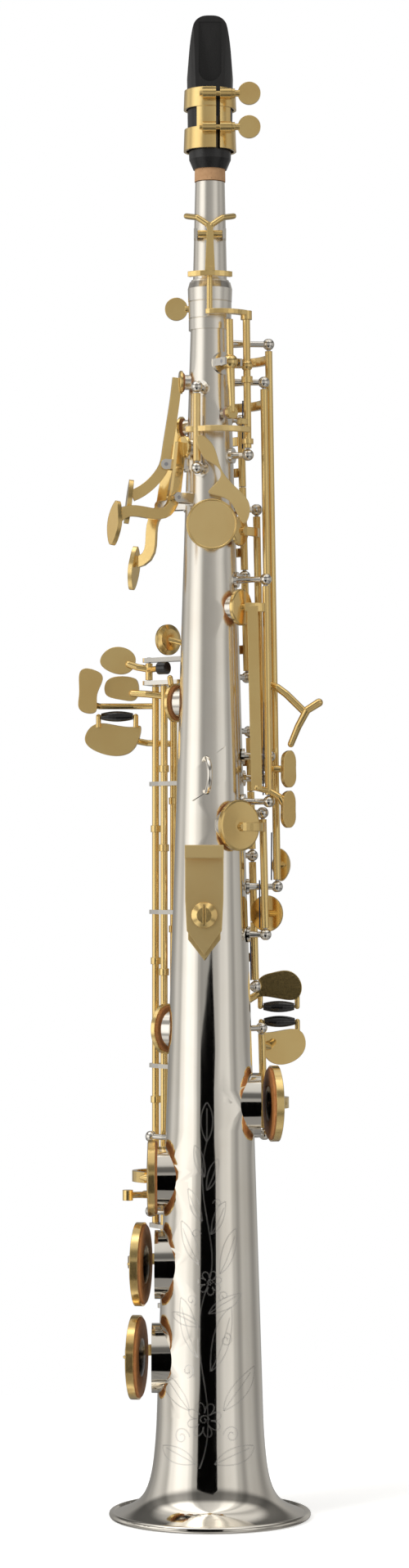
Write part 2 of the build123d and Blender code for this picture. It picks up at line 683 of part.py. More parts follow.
def make_thumb_hook_screw():
    """Domed, slotted screw that locks the thumb hook."""
    front = -(body_radius(256) + 1.6) - 0.02 - 1.8
    shank = beam((HOOK_X, front + 3.6, HOOK_SCREW_Z), (HOOK_X, front - 0.2, HOOK_SCREW_Z), 1.25)
    head = beam((HOOK_X, front - 0.05, HOOK_SCREW_Z), (HOOK_X, front - 1.0, HOOK_SCREW_Z), 5.9)
    dome = beam((HOOK_X, front - 1.0, HOOK_SCREW_Z), (HOOK_X, front - 2.4, HOOK_SCREW_Z), 5.9, 3.4)
    slot = Pos(HOOK_X, front - 2.4, HOOK_SCREW_Z) * Box(1.1, 1.6, 13)
    return shank + head + dome - slot


def make_octave_vents():
    """Small tube soldered into the wall under the body octave pad."""
    vents = []
    for z, azimuth in OCTAVE_VENTS.values():
        inner = polar(azimuth, body_radius(z) - WALL - 2, z)
        outer = polar(azimuth, body_radius(z) + VENT_RISE, z)
        beyond = polar(azimuth, body_radius(z) + VENT_RISE + 1, z)
        vents.append(beam(inner, outer, VENT_R) - beam(inner - (beyond - inner), beyond, VENT_BORE_R))
    return vents


# Hinge lines held by ball posts, with the heights of their posts.
POSTS = [
    (LOW_C_SHARP_LINE, (138.6, 173.4)),
    (LOW_C_LINE, (174.4, 224.0)),
    (LOW_EB_LINE, (207.4, 236.4)),
    (LOWER_STACK_LINE, (243.5, 304.4, 362.0)),
    (UPPER_STACK_LINE, (387.0, 433.8, 506.0)),
    (G_SHARP_LINE, (364.0, 386.0)),
    (HIGH_E_LINE, (350.0, 522.0)),
    (SIDE_C_LINE, (340.0, 464.0)),
    (SIDE_BB_LINE, (329.0, 431.0)),
    (HIGH_F_SHARP_LINE, (290.0, 540.0)),
    (TRILL_LINE, (268.0, 324.0)),
    (OCTAVE_LEVER_LINE, (481.2, 518.4)),
    (OCTAVE_ROCKER_LINE, (488.0,)),
]


def make_key_posts():
    """All silver ball posts, each soldered to the body by its foot."""
    posts = []
    for line, heights in POSTS:
        for z in heights:
            posts.append(seated(post(line.at(z), line.axis)))
    return posts


def bracket(z, holes, thickness=2.0):
    """Flat plate standing out from the body at height z, bored for (line, hole radius) pairs."""
    points = [line.at(z) for line, _ in holes]
    angle = math.atan2(sum(p.Y for p in points), sum(p.X for p in points))
    root = body_radius(z) - 2
    rx, ry = root * math.cos(angle), root * math.sin(angle)
    tx, ty = -math.sin(angle) * BRACKET_ROOT, math.cos(angle) * BRACKET_ROOT
    discs = [Pos(p.X, p.Y) * Circle(BRACKET_EYE_R) for p in points]
    discs += [Pos(rx + tx, ry + ty) * Circle(1.0), Pos(rx - tx, ry - ty) * Circle(1.0)]
    edges = [edge for disc in discs for edge in disc.edges()]
    plate = Pos(0, 0, z - thickness / 2) * extrude(make_hull(edges), amount=thickness)
    for point, (_, radius) in zip(points, holes):
        plate -= Pos(point.X, point.Y, z) * Cylinder(radius, thickness * 4)
    return seated(plate)


def make_rod_brackets():
    """Silver plates that carry the long low-key rods down the front left."""
    low_b, low_bb, lever = LOW_B_LINE, LOW_BB_LINE, LOW_C_SHARP_LEVER_LINE
    top = [(low_b, ROD_R), (low_bb, ROD_R), (lever, ROD_R), (G_SHARP_LEVER_LINE, ROD_R)]
    plates = [bracket(385.0, top)]
    for z in (338.0, 278.0, 206.0):
        plates.append(bracket(z, [(low_b, GUIDE_R), (low_bb, GUIDE_R), (lever, GUIDE_R)]))
    plates.append(bracket(131.0, [(low_b, GUIDE_R), (low_bb, GUIDE_R), (lever, ROD_R)]))
    plates.append(bracket(94.0, [(low_b, ROD_R), (low_bb, GUIDE_R)]))
    plates.append(bracket(50.5, [(low_bb, ROD_R)]))
    plates.append(bracket(395.6, [(G_SHARP_LEVER_LINE, ROD_R)]))
    return plates


RODS = [
    (LOW_B_LINE, 93.0, 386.0),
    (LOW_BB_LINE, 49.5, 386.0),
    (LOW_C_SHARP_LEVER_LINE, 130.0, 386.0),
    (G_SHARP_LEVER_LINE, 384.0, 397.0),
    (LOW_C_SHARP_LINE, 138.0, 174.0),
    (LOW_C_LINE, 173.4, 225.0),
    (LOW_EB_LINE, 206.4, 237.4),
    (LOWER_STACK_LINE, 242.5, 363.0),
    (UPPER_STACK_LINE, 386.0, 507.0),
    (G_SHARP_LINE, 363.0, 387.0),
    (HIGH_E_LINE, 349.0, 523.0),
    (SIDE_C_LINE, 339.0, 465.0),
    (SIDE_BB_LINE, 328.0, 432.0),
    (HIGH_F_SHARP_LINE, 289.0, 541.0),
    (TRILL_LINE, 267.0, 325.0),
    (OCTAVE_LEVER_LINE, 480.2, 519.4),
    (OCTAVE_ROCKER_LINE, 487.0, 552.0),
]


def make_hinge_rods():
    """Steel rods that the hinge tubes turn on."""
    return [beam(line.at(low), line.at(high), ROD_R) for line, low, high in RODS]


# ---------------------------------------------------------------- keys on vertical hinges
def key_node(metal, line, soft=(), travel=0.0):
    """Drill the brass blank for its rod and set it at rest; open keys are swung off their hole."""
    solids = [drill(metal, line)] + list(soft)
    if travel:
        solids = [swing(solid, line, -travel) for solid in solids]
    return solids


def stack_key(name, line, z_low, z_high, pearl_azimuth=None, pearl_drop=0.0, pearl_radius=6.4,
              pearl_reach=None):
    """Front stack key: hinge tube, arm over its cup, pad, and a pearl on a short arm."""
    hole = HOLES[name]
    metal = hinge_tube(line, z_low, z_high) + cup_arm(line, hole) + cup(hole)
    soft = [pad(hole)]
    if pearl_azimuth is not None:
        z = hole.z - pearl_drop
        reach = hole.cup_top + 2.2 if pearl_reach is None else pearl_reach
        centre = polar(pearl_azimuth, reach, z)
        arm_root = polar(hole.azimuth, hole.cup_top - 0.2, hole.z)
        direction = polar(pearl_azimuth, 1, 0)
        metal += strut([arm_root, centre + direction * 0.6], 1.3)
        metal += pearl_holder(centre, direction, pearl_radius)
        soft.append(pearl(centre, direction, pearl_radius))
    return key_node(metal, line, soft, OPEN_TRAVEL[name])


def make_d_key():
    """D key, lowest of the right-hand stack."""
    return stack_key("d", LOWER_STACK_LINE, 246.6, 273.5, 108, 0.0)


def make_e_key():
    """E key of the right-hand stack."""
    return stack_key("e", LOWER_STACK_LINE, 273.8, 301.4, 108, 0.0)


def make_f_key():
    """F key of the right-hand stack."""
    return stack_key("f", LOWER_STACK_LINE, 307.4, 334.0, 108, 0.0)


def make_f_sharp_key():
    """F sharp vent, closed by any key of the right-hand stack."""
    return stack_key("f_sharp", LOWER_STACK_LINE, 334.3, 359.0)


def make_g_key():
    """G key, lowest of the left-hand stack."""
    return stack_key("g", UPPER_STACK_LINE, 390.0, 413.0, 137, -5.0, 7.2, 26.5)


def make_bis_key():
    """Small B flat key beside the B touch."""
    return stack_key("bis", UPPER_STACK_LINE, 413.3, 430.8, 112, -3.0, 3.6, 19.5)


def make_a_key():
    """A key of the left-hand stack."""
    return stack_key("a", UPPER_STACK_LINE, 436.8, 456.5, 108, 0.0)


def make_b_key():
    """B key of the left-hand stack."""
    return stack_key("b", UPPER_STACK_LINE, 456.8, 475.0, 108, 0.0, 6.0)


def make_c_vent_key():
    """C vent at the top of the left-hand stack."""
    return stack_key("c_vent", UPPER_STACK_LINE, 475.3, 489.5)


def make_front_f_key():
    """Small lever above the B key for the left first finger."""
    line = UPPER_STACK_LINE
    z = 496.5
    start = line.polar_at(z)
    tip = (96, body_radius(z) + 8.0)
    metal = hinge_tube(line, 489.8, 503.0) + ribbon(spiral(start, tip, 1.0), z, 2.2, 4.0)
    direction = polar(96, 1, 0)
    plane = Plane(origin=polar(96, body_radius(z) + 8.2, z), x_dir=(0, 0, 1), z_dir=direction)
    teardrop = [(5.5, 0), (2.0, 3.4), (-4.0, 3.8), (-6.0, 0), (-4.0, -3.8), (2.0, -3.4)]
    touch = outline_plate(teardrop, plane, 2.2)
    return key_node(metal + touch, line)


def side_touch(tip):
    """Flat oblong touch of a right-hand side key, facing back and right."""
    plane = Plane(origin=tip + Vector(0, 0.8, 0), x_dir=(0, 0, 1), z_dir=(0.55, -0.83, 0))
    half = SIDE_TOUCH_HEIGHT / 2
    outline = [(half, 0), (half * 0.8, 2.6), (0, 3.4), (-half * 0.8, 2.6), (-half, 0),
               (-half * 0.8, -2.6), (0, -3.4), (half * 0.8, -2.6)]
    return outline_plate(outline, plane, 2.4)


def make_side_c_key():
    """Right-hand side key for C."""
    line = SIDE_C_LINE
    hole = HOLES["side_c"]
    metal = hinge_tube(line, 343.2, 460.8) + cup_arm(line, hole, bulge=0.6) + cup(hole)
    tip = Vector(35.4, -5.0, 344.0)
    metal += strut([line.at(345.0), Vector(27.6, -3.4, 344.2), tip], 1.6)
    metal += side_touch(tip)
    return key_node(metal, line, [pad(hole)])


def make_side_bb_key():
    """Side B-flat key, whose touch hangs from a long flat bar outside its hinge tube."""
    line = SIDE_BB_LINE
    hole = HOLES["side_bb"]
    metal = hinge_tube(line, 332.2, 427.8) + cup_arm(line, hole, bulge=0.6) + cup(hole)
    bar_foot = Vector(21.4, -10.4, 334.0)
    metal += beam_box(bar_foot, Vector(19.4, -10.6, 418.5), 5.0, 1.8)
    metal += strut([line.at(334.0), bar_foot + Vector(0, 0, 1.2)], 1.4)
    tip = Vector(35.2, -6.4, 325.5)
    metal += strut([line.at(334.0), Vector(32.0, -8.0, 331.0), tip], 1.6)
    metal += side_touch(tip)
    return key_node(metal, line, [pad(hole)])


def beam_box(start, end, width, thickness):
    """Flat bar between two points, its width along X."""
    start, end = Vector(start), Vector(end)
    span = end - start
    plane = Plane(origin=start, x_dir=(1, 0, 0), z_dir=span)
    return plane * Box(width, thickness, span.length, align=(Align.CENTER, Align.CENTER, Align.MIN))


def make_high_e_key():
    """High E key with its curved side touch."""
    line = HIGH_E_LINE
    hole = HOLES["high_e"]
    metal = hinge_tube(line, 353.2, 518.8) + cup_arm(line, hole, bulge=0.0) + cup(hole)
    foot = line.at(383.0)
    tip = Vector(42.6, -5.4, 371.0)
    metal += strut([foot, Vector(31.0, -4.0, 381.5), Vector(35.0, -4.6, 378.5), tip], 1.7)
    blade = strut([Vector(50.0, -6.0, 374.5), Vector(44.5, -6.2, 371.0), Vector(40.5, -5.0, 363.5),
                   Vector(37.2, -4.2, 355.5)], 1.9, 1.5, free_start=True)
    return key_node(metal + blade, line, [pad(hole)])


def make_high_f_sharp_key():
    """High F sharp key, with its touch beside the right hand."""
    line = HIGH_F_SHARP_LINE
    hole = HOLES["high_f_sharp"]
    metal = hinge_tube(line, 293.2, 536.8) + cup_arm(line, hole, bulge=2.0) + cup(hole)
    foot = line.at(300.0)
    tip = foot + Vector(2.0, 8.5, 0)
    metal += beam(foot, tip, 1.6)
    plane = Plane(origin=tip - Vector(0, 0.6, 0), x_dir=(0, 0, 1), z_dir=(0.2, 0.98, 0))
    metal += outline_plate([(7.5, 0), (5, 2.8), (-5, 2.8), (-7.5, 0), (-5, -2.8), (5, -2.8)], plane, 2.2)
    return key_node(metal, line, [pad(hole)])


def make_f_sharp_trill_key():
    """Trill key: a large cup on the back right with a round touch below it."""
    line = TRILL_LINE
    hole = HOLES["f_sharp_trill"]
    metal = hinge_tube(line, 271.0, 321.0) + cup_arm(line, hole, z=hole.z - 0.6) + cup(hole)
    foot = line.at(277.6)
    centre = foot + Vector(0.6, 5.6, 0)
    metal += beam(foot, centre, 1.6)
    plane = Plane(origin=centre, z_dir=(0.5, 0.86, 0), x_dir=(0, 0, 1))
    metal += plane * lathe([(0, 0), (8.4, 0), (8.4, 1.0), (4.5, 2.4), (0, 2.8)])
    return key_node(metal, line, [pad(hole)])


# ---------------------------------------------------------------- low keys
def low_side_key(name, line, z_low, z_high):
    """Cup, arm and hinge tube of a large low key; returns blank metal and its pad."""
    hole = HOLES[name]
    metal = hinge_tube(line, z_low, z_high) + cup_arm(line, hole, bulge=4.8, width=2.8, depth=5.0) + cup(hole)
    foot = polar(hole.azimuth, hole.cup_top - 0.4, hole.z)
    spur = beam(foot, polar(hole.azimuth, hole.cup_top + 3.4, hole.z), 2.2, 0.5)
    return metal + spur, pad(hole)


@dataclass
class Roller:
    """Barrel-shaped roller on the edge of a little-finger plate, lying along X."""
    key: str
    line: Line
    travel: float
    x_low: float
    x_high: float
    y: float
    z: float
    plate_z: float
    radius: float


ROLLERS = {
    "low_bb_roller": Roller("low_bb_key", LOW_BB_LINE, OPEN_TRAVEL["low_bb"],
                            -51.5, -36.5, 31.4, 369.8, 364.6, 2.5),
    "low_eb_roller": Roller("low_eb_key", LOW_EB_LINE, 0.0, 25.0, 39.5, 31.2, 233.6, 239.0, 2.7),
    "low_c_roller": Roller("low_c_key", LOW_C_LINE, OPEN_TRAVEL["low_c"],
                           27.0, 41.5, 31.4, 226.6, 219.0, 2.7),
}


def make_roller(name):
    """Turned roller with a bore for its axle, in its place at rest."""
    roller = ROLLERS[name]
    half = (roller.x_high - roller.x_low) / 2
    steps = 8
    barrel = []
    for i in range(steps + 1):
        along = -half + 2 * half * i / steps
        swell = 1 - (along / half) ** 2
        barrel.append((roller.radius * (0.6 + 0.4 * swell), along))
    bore = AXLE_R + RUNNING_CLEARANCE
    solid = lathe([(bore, -half)] + barrel + [(bore, half)])
    middle = Plane(origin=((roller.x_low + roller.x_high) / 2, roller.y, roller.z), z_dir=(1, 0, 0))
    return swing(middle * solid, roller.line, -roller.travel)


def roller_lugs(name):
    """Two lugs from the plate and the axle between them."""
    roller = ROLLERS[name]
    low, high = roller.x_low - LUG_OFFSET, roller.x_high + LUG_OFFSET
    lugs = beam((low, roller.y, roller.z), (high, roller.y, roller.z), AXLE_R)
    for x in (low, high):
        lugs += beam((x, roller.y, roller.plate_z), (x, roller.y, roller.z), LUG_R)
        lugs += ball((x, roller.y, roller.z), LUG_R)
    return lugs


def table_plate(outline, thickness=2.4, y=TABLE_Y_FACE, smooth=True):
    """Little-finger plate lying in an upright plane, its face toward the front."""
    plane = Plane(origin=(0, y, 0), x_dir=(1, 0, 0), z_dir=(0, -1, 0))
    return outline_plate(outline, plane, -thickness, smooth)


def collars(line, heights):
    """Raised bands soldered round a long hinge tube."""
    return join([beam(line.at(z - COLLAR_HALF), line.at(z + COLLAR_HALF), COLLAR_R) for z in heights])


def make_low_b_key():
    """Low B key and its pad: cup at the bell, plate for the left little finger."""
    line = LOW_B_LINE
    metal, leather = low_side_key("low_b", line, 95.2, 383.8)
    foot = line.at(379.0)
    metal += strut([foot, Vector(-30.0, 27.5, 380.0), Vector(-37.0, 29.0, 380.5)], 1.6)
    metal += table_plate([(-36.0, 387.5), (-43.0, 388.6), (-49.6, 386.0),
                          (-50.0, 380.5), (-43.0, 377.6), (-35.5, 378.0)])
    metal += collars(line, (345.0, 308.0, 250.0, 160.0))
    metal = drill(metal, line)
    travel = OPEN_TRAVEL["low_b"]
    return [swing(metal, line, -travel)], [swing(leather, line, -travel)]


def make_low_bb_key():
    """Low B flat key and its pad, the lowest cup, with a plate that carries a roller."""
    line = LOW_BB_LINE
    metal, leather = low_side_key("low_bb", line, 51.7, 383.8)
    foot = line.at(357.0)
    metal += strut([foot, Vector(-19.0, 38.0, 357.0), Vector(-31.0, 39.5, 357.5),
                    Vector(-39.0, 33.2, 359.0)], 1.5)
    metal += table_plate([(-34.0, 365.4), (-45.0, 365.8), (-56.0, 365.4), (-59.5, 359.0), (-51.5, 352.4),
                          (-41.0, 351.6), (-34.4, 357.5)], y=31.6)
    metal += roller_lugs("low_bb_roller")
    metal += collars(line, (330.0, 270.0, 222.0))
    metal = drill(metal, line)
    travel = OPEN_TRAVEL["low_bb"]
    return [swing(metal, line, -travel)], [swing(leather, line, -travel)]


def make_low_c_sharp_lever():
    """Little-finger lever whose lower finger pushes the tail of the low C sharp key."""
    line = LOW_C_SHARP_LEVER_LINE
    metal = hinge_tube(line, 132.2, 383.8)
    foot = line.at(374.6)
    metal += strut([foot, Vector(-36.0, 36.8, 374.6), Vector(-52.0, 36.6, 374.6),
                    Vector(-55.8, 32.5, 375.4)], 1.4)
    metal += collars(line, (317.0, 255.0, 190.0))
    metal += table_plate([(-53.2, 391.0), (-60.6, 391.0), (-61.4, 380.0),
                          (-60.8, 372.5), (-54.0, 371.5), (-52.9, 380.0)],
                         thickness=3.4)
    finger = line.at(146.0)
    metal += strut([finger, Vector(-30.6, 31.0, 146.0), Vector(-31.0, 28.0, 146.0)], 1.4)
    return key_node(metal, line)


def make_low_c_sharp_key():
    """Low C sharp cup, opened by its lever."""
    line = LOW_C_SHARP_LINE
    metal, leather = low_side_key("low_c_sharp", line, 141.6, 170.4)
    metal += strut([line.at(146.0), Vector(-28.0, 28.0, 146.0)], 1.4)
    metal += strut([line.at(146.0), Vector(-33.0, 17.0, 146.6), Vector(-38.0, 6.0, 147.4)], 1.5)
    metal += beam((-38.0, 6.0, 145.0), (-38.0, 6.0, 149.8), 2.4)
    return key_node(metal, line, [leather])


def make_g_sharp_lever():
    """Top plate of the left little-finger table, with its cork-tipped inner arm."""
    line = G_SHARP_LEVER_LINE
    metal = hinge_tube(line, 386.4, 394.2)
    metal += strut([line.at(391.5), Vector(-34.0, 27.5, 392.5), Vector(-38.0, 28.8, 394.0)], 1.6)
    metal += table_plate([(-35.5, 398.5), (-41.0, 402.0), (-48.5, 400.5),
                          (-51.5, 395.0), (-47.0, 390.6), (-37.0, 391.0)])
    metal += strut([line.at(391.0), Vector(-26.5, 20.5, 391.2), Vector(-23.4, 14.0, 391.3)], 1.4)
    bumper = beam((-23.6, 13.9, 391.3), (-19.8, 11.2, 391.3), 2.9)
    metal -= bumper
    return key_node(metal, line, [bumper])


def make_g_sharp_key():
    """G sharp cup, opened by its lever."""
    line = G_SHARP_LINE
    hole = HOLES["g_sharp"]
    metal = hinge_tube(line, 367.0, 383.0) + cup_arm(line, hole, bulge=1.0) + cup(hole)
    tail_root = polar(hole.azimuth + 2, hole.cup_top - 0.3, 380.0)
    metal += strut([tail_root, polar(hole.azimuth + 4, 20.6, 386.6)], 1.3)
    return key_node(metal, line, [pad(hole)])


def make_low_c_key():
    """Low C key and its pad, with the lower plate for the right little finger."""
    line = LOW_C_LINE
    metal, leather = low_side_key("low_c", line, 177.4, 221.0)
    foot = line.at(216.0)
    metal += strut([foot, Vector(28.0, 25.5, 215.0), Vector(31.0, 30.4, 217.0)], 1.7)
    metal += table_plate([(25.5, 221.8), (35.0, 222.4), (44.5, 221.8), (46.5, 215.0),
                          (41.0, 208.0), (32.5, 206.6),
                          (26.5, 212.0)], y=RIGHT_TABLE_Y)
    metal += roller_lugs("low_c_roller")
    metal = drill(metal, line)
    travel = OPEN_TRAVEL["low_c"]
    return [swing(metal, line, -travel)], [swing(leather, line, -travel)]


def make_low_eb_key():
    """Low E flat key with the upper plate for the right little finger."""
    line = LOW_EB_LINE
    hole = HOLES["low_eb"]
    metal = hinge_tube(line, 210.4, 233.4) + cup_arm(line, hole, bulge=1.0, depth=4.4) + cup(hole)
    metal += strut([line.at(230.0), Vector(10.0, 30.5, 231.6), Vector(22.5, 31.6, 239.5)], 1.7)
    metal += table_plate([(22.5, 238.0), (32.0, 237.4), (41.5, 238.0), (43.0, 243.5),
                          (37.5, 250.2), (29.5, 249.6),
                          (22.0, 244.5)], y=RIGHT_TABLE_Y)
    metal += roller_lugs("low_eb_roller")
    return key_node(metal, line, [pad(hole)])


# ---------------------------------------------------------------- palm keys
@dataclass
class Palm:
    """Palm key in an upright plane through the bore: cup above, pivot, touch below."""
    name: str
    pivot_offset: float
    pivot_z: float
    touch_radius: float
    touch_z: float


PALMS = {
    "palm_d": Palm("palm_d", 8.0, 468.0, 51.0, 454.5),
    "palm_eb": Palm("palm_eb", 12.5, 466.0, 37.0, 437.5),
    "palm_f": Palm("palm_f", 9.8, 484.0, 36.5, 466.5),
}


def palm_pivot(name):
    """Centre of a palm key's pivot."""
    palm = PALMS[name]
    azimuth = HOLES[name].azimuth
    return polar(azimuth, body_radius(palm.pivot_z) + palm.pivot_offset, palm.pivot_z)


def palm_line(name):
    """Horizontal hinge line of a palm key, square to the key's own plane."""
    azimuth = HOLES[name].azimuth
    centre = palm_pivot(name)
    side = polar(azimuth + 90, 1, 0)
    return centre, side


def make_palm_key(name):
    """Palm key: cup, long curved arm over its pivot, and a leaf-shaped touch."""
    palm, hole = PALMS[name], HOLES[name]
    azimuth = hole.azimuth
    centre, side = palm_line(name)
    pivot_r = body_radius(palm.pivot_z) + palm.pivot_offset

    def place(radius, z):
        return polar(azimuth, radius, z)

    upright = Plane(origin=(0, 0, 0), x_dir=polar(azimuth, 1, 0), z_dir=-side)
    path = [
        (hole.cup_top + 0.5, hole.z + 2.0),
        (hole.cup_top + 1.4, hole.z - 6.0),
        (pivot_r - 0.6, palm.pivot_z + 5.0),
        (pivot_r + 0.4, palm.pivot_z),
        (pivot_r + 4.0, palm.pivot_z - 6.0),
        (palm.touch_radius - 6.0, palm.touch_z + 6.0),
        (palm.touch_radius - 0.4, palm.touch_z + 3.0),
    ]
    curve = Spline(*path)
    points = [curve @ (i / 24) for i in range(25)]
    outline = ribbon([(p.X, p.Y) for p in points], 0, PALM_ROOT_WIDTH, 2.4, PALM_TIP_WIDTH)
    metal = upright * outline
    leaf_tilt = Plane(origin=place(palm.touch_radius, palm.touch_z), x_dir=(0, 0, 1),
                      z_dir=polar(azimuth, 1, 0) + Vector(0, 0, 0.12))
    leaf = [(10.0, 0), (5.0, 3.6), (-3.0, 4.2), (-10.0, 0), (-3.0, -4.2), (5.0, -3.6)]
    metal += outline_plate(leaf, leaf_tilt, 2.2)
    metal += cup(hole)
    metal += beam(centre - side * 2.0, centre + side * 2.0, 2.4)
    metal -= beam(centre - side * 9, centre + side * 9, ROD_R + RUNNING_CLEARANCE)
    return [metal, pad(hole)]


def palm_posts():
    """Silver forks that carry the palm-key pivots, and their pivot screws."""
    forks, pins = [], []
    for name, palm in PALMS.items():
        centre, side = palm_line(name)
        azimuth = HOLES[name].azimuth
        base = body_radius(palm.pivot_z)
        pivot_r = base + palm.pivot_offset
        fork = beam(polar(azimuth, base - 1.5, palm.pivot_z), polar(azimuth, base + 1.0, palm.pivot_z), 3.4)
        for sign in (-1, 1):
            cheek = Plane(origin=(side * (sign * 2.8)) + polar(azimuth, (base + pivot_r) / 2, palm.pivot_z),
                          x_dir=polar(azimuth, 1, 0), z_dir=side)
            fork += cheek * Box(pivot_r - base + 1.0, 4.4, 1.2)
            fork += beam(centre + side * (sign * 2.2), centre + side * (sign * 3.4), 2.4)
        fork -= beam(centre - side * 9, centre + side * 9, ROD_R)
        forks.append(seated(fork))
        pins.append(beam(centre - side * 3.4, centre + side * 3.4, ROD_R))
    return forks, pins


# ---------------------------------------------------------------- octave mechanism
def make_octave_lever():
    """Left-thumb octave key: hinge tube, curved touch plate and an arm to the rocker."""
    line = OCTAVE_LEVER_LINE
    metal = hinge_tube(line, 484.3, 515.3)
    outline = [(-4.0, 496.0), (1.8, 490.5), (5.3, 480.3), (13.1, 471.0), (18.2, 462.5), (15.7, 455.7),
               (11.6, 461.8), (6.0, 467.6), (-0.7, 469.9), (4.9, 477.5), (3.1, 481.8), (-3.0, 486.0)]
    touch = table_plate(outline, thickness=1.8, y=-17.6)
    metal += touch & (Pos(20, -17, 480) * Box(52, 6, 60))
    start = line.polar_at(499.0)
    metal += ribbon(spiral((start[0] - 16, start[1] + 1.0), start, 0.3), 499.0, 2.2, 2.6)
    metal += ribbon(spiral(start, (-34, 21.4), 0.6), 499.0, 2.2, 2.6)
    return key_node(metal, line)


def make_octave_rocker():
    """Upright shaft that carries the thumb's motion up to the neck and body octave keys."""
    line = OCTAVE_ROCKER_LINE
    metal = hinge_tube(line, 491.2, 551.8)
    metal += beam(line.at(521.0), line.at(524.0), 2.6)
    metal += beam(line.at(493.0), line.at(495.4), 2.6)
    metal += ball(line.at(529.0), 2.7)
    start = line.polar_at(505.0)
    metal += ribbon(spiral((start[0] - 20, start[1] - 1.0), start, 0.2), 503.0, 2.0, 2.6)
    start = line.polar_at(553.0)
    metal += ribbon(spiral(start, (-96, 12.6), 0.4), 553.0, 3.4, 2.2)
    metal += beam(line.at(550.0), line.at(554.0), 2.6)
    metal += beam(polar(-91, ROCKER_PIN_R, 553), polar(-91, ROCKER_PIN_R, 570.9), 1.35)
    return key_node(metal, line)


def body_octave_pivot():
    """Centre of the body octave key's pivot and the direction along its pin."""
    radius = body_radius(BODY_OCTAVE_PIVOT_Z) + BODY_OCTAVE_OFFSET
    return polar(BODY_OCTAVE_AZIMUTH, radius, BODY_OCTAVE_PIVOT_Z), polar(BODY_OCTAVE_AZIMUTH + 90, 1, 0)


def make_body_octave_key():
    """Rocking lever with its pad on the body octave vent."""
    centre, side = body_octave_pivot()
    azimuth = BODY_OCTAVE_AZIMUTH
    z_vent = OCTAVE_VENTS["body"][0]
    seat_r = body_radius(z_vent) + VENT_RISE + SEAT_GAP
    pivot_r = body_radius(BODY_OCTAVE_PIVOT_Z) + BODY_OCTAVE_OFFSET
    metal = ball(centre, 3.6)
    pivot = polar(azimuth, pivot_r, BODY_OCTAVE_PIVOT_Z)
    metal += beam(pivot, polar(azimuth, seat_r + 3.4, z_vent), 2.0, 1.3)
    metal += beam(polar(azimuth, seat_r + 3.8, z_vent), polar(azimuth, seat_r + 1.6, z_vent), 3.0)
    metal += beam(polar(azimuth, pivot_r, BODY_OCTAVE_PIVOT_Z), polar(azimuth, pivot_r - 0.5, 549.6), 1.6)
    metal -= beam(centre - side * 9, centre + side * 9, ROD_R + RUNNING_CLEARANCE)
    disc = beam(polar(azimuth, seat_r, z_vent), polar(azimuth, seat_r + 1.6, z_vent), 2.8)
    return [metal, disc]


def body_octave_fork():
    """Fork and pin under the body octave key."""
    centre, side = body_octave_pivot()
    azimuth = BODY_OCTAVE_AZIMUTH
    base = body_radius(BODY_OCTAVE_PIVOT_Z)
    pivot_r = base + BODY_OCTAVE_OFFSET
    fork = None
    for sign in (-1, 1):
        middle = polar(azimuth, (base + pivot_r) / 2, BODY_OCTAVE_PIVOT_Z)
        cheek = Plane(origin=side * (sign * 4.5) + middle, x_dir=polar(azimuth, 1, 0), z_dir=side)
        leg = cheek * Box(pivot_r - base + 5.0, 3.4, 1.2)
        leg += beam(centre + side * (sign * 3.9), centre + side * (sign * 5.1), 2.0)
        fork = leg if fork is None else fork + leg
    fork += beam(polar(azimuth, base - 3.0, BODY_OCTAVE_PIVOT_Z),
                 polar(azimuth, base + 0.9, BODY_OCTAVE_PIVOT_Z), 5.2)
    fork -= beam(centre - side * 9, centre + side * 9, ROD_R)
    pin = beam(centre - side * 5.1, centre + side * 5.1, ROD_R)
    return seated(fork), pin


def make_neck_octave_key():
    """Forked neck key: pad on the front pip, stem on the back and a ring over the receiver."""
    y, z = NECK_KEY_Y, NECK_KEY_Z
    metal = beam((-5.6, y, z), (5.6, y, z), TUBE_R)
    stem = [(-2.3, 571.6), (2.3, 571.6), (1.6, z - 3), (1.4, z + 2), (2.4, 594.0), (-2.4, 594.0),
            (-1.4, z + 2),
            (-1.6, z - 3)]
    plate = extrude(Plane(origin=(0, y - 1.2, 0), x_dir=(1, 0, 0), z_dir=(0, -1, 0)) * make_face(
        Polyline(*stem, close=True)), amount=1.7)
    metal += plate
    ring = ribbon(spiral((-90 - 42, NECK_RING_R), (-90 + 42, NECK_RING_R)), 570.3, 1.9, 2.4)
    metal += ring
    metal += Pos(0, -(NECK_RING_R - 1.8), 572.3) * Box(4.4, 5.4, 2.0)
    right = [Vector(1.0, y - 2.0, 593.0), Vector(5.8, -10.2, 596.4), Vector(10.8, -3.4, 598.2),
             Vector(9.8, 5.0, 599.4), Vector(4.0, 12.0, 600.0)]
    left = [Vector(-p.X, p.Y, p.Z) for p in right]
    metal += strut(left + [Vector(0, 12.9, 600.0)] + right[::-1], 1.3)
    metal += beam((0, 10.9, 600.0), (0, 13.4, 600.0), 3.0)
    metal -= beam((-9, y, z), (9, y, z), ROD_R + RUNNING_CLEARANCE)
    disc = beam((0, 9.6 + SEAT_GAP, 600.0), (0, 10.9, 600.0), 2.8)
    return [metal, disc]


def make_neck_pivot_pin():
    """Pin on which the neck octave key rocks."""
    return beam((-7.4, NECK_KEY_Y, NECK_KEY_Z), (7.4, NECK_KEY_Y, NECK_KEY_Z), ROD_R)


# ---------------------------------------------------------------- writing the parts
def write(name, solids):
    """Save one node; a node of several loose pieces is saved as a group of solids."""
    solids = solids if isinstance(solids, list) else [solids]
    pieces = [piece for solid in solids for piece in solid.solids()]
    shape = pieces[0] if len(pieces) == 1 else Compound(children=pieces)
    export_step(shape, f"parts/{name}.step")


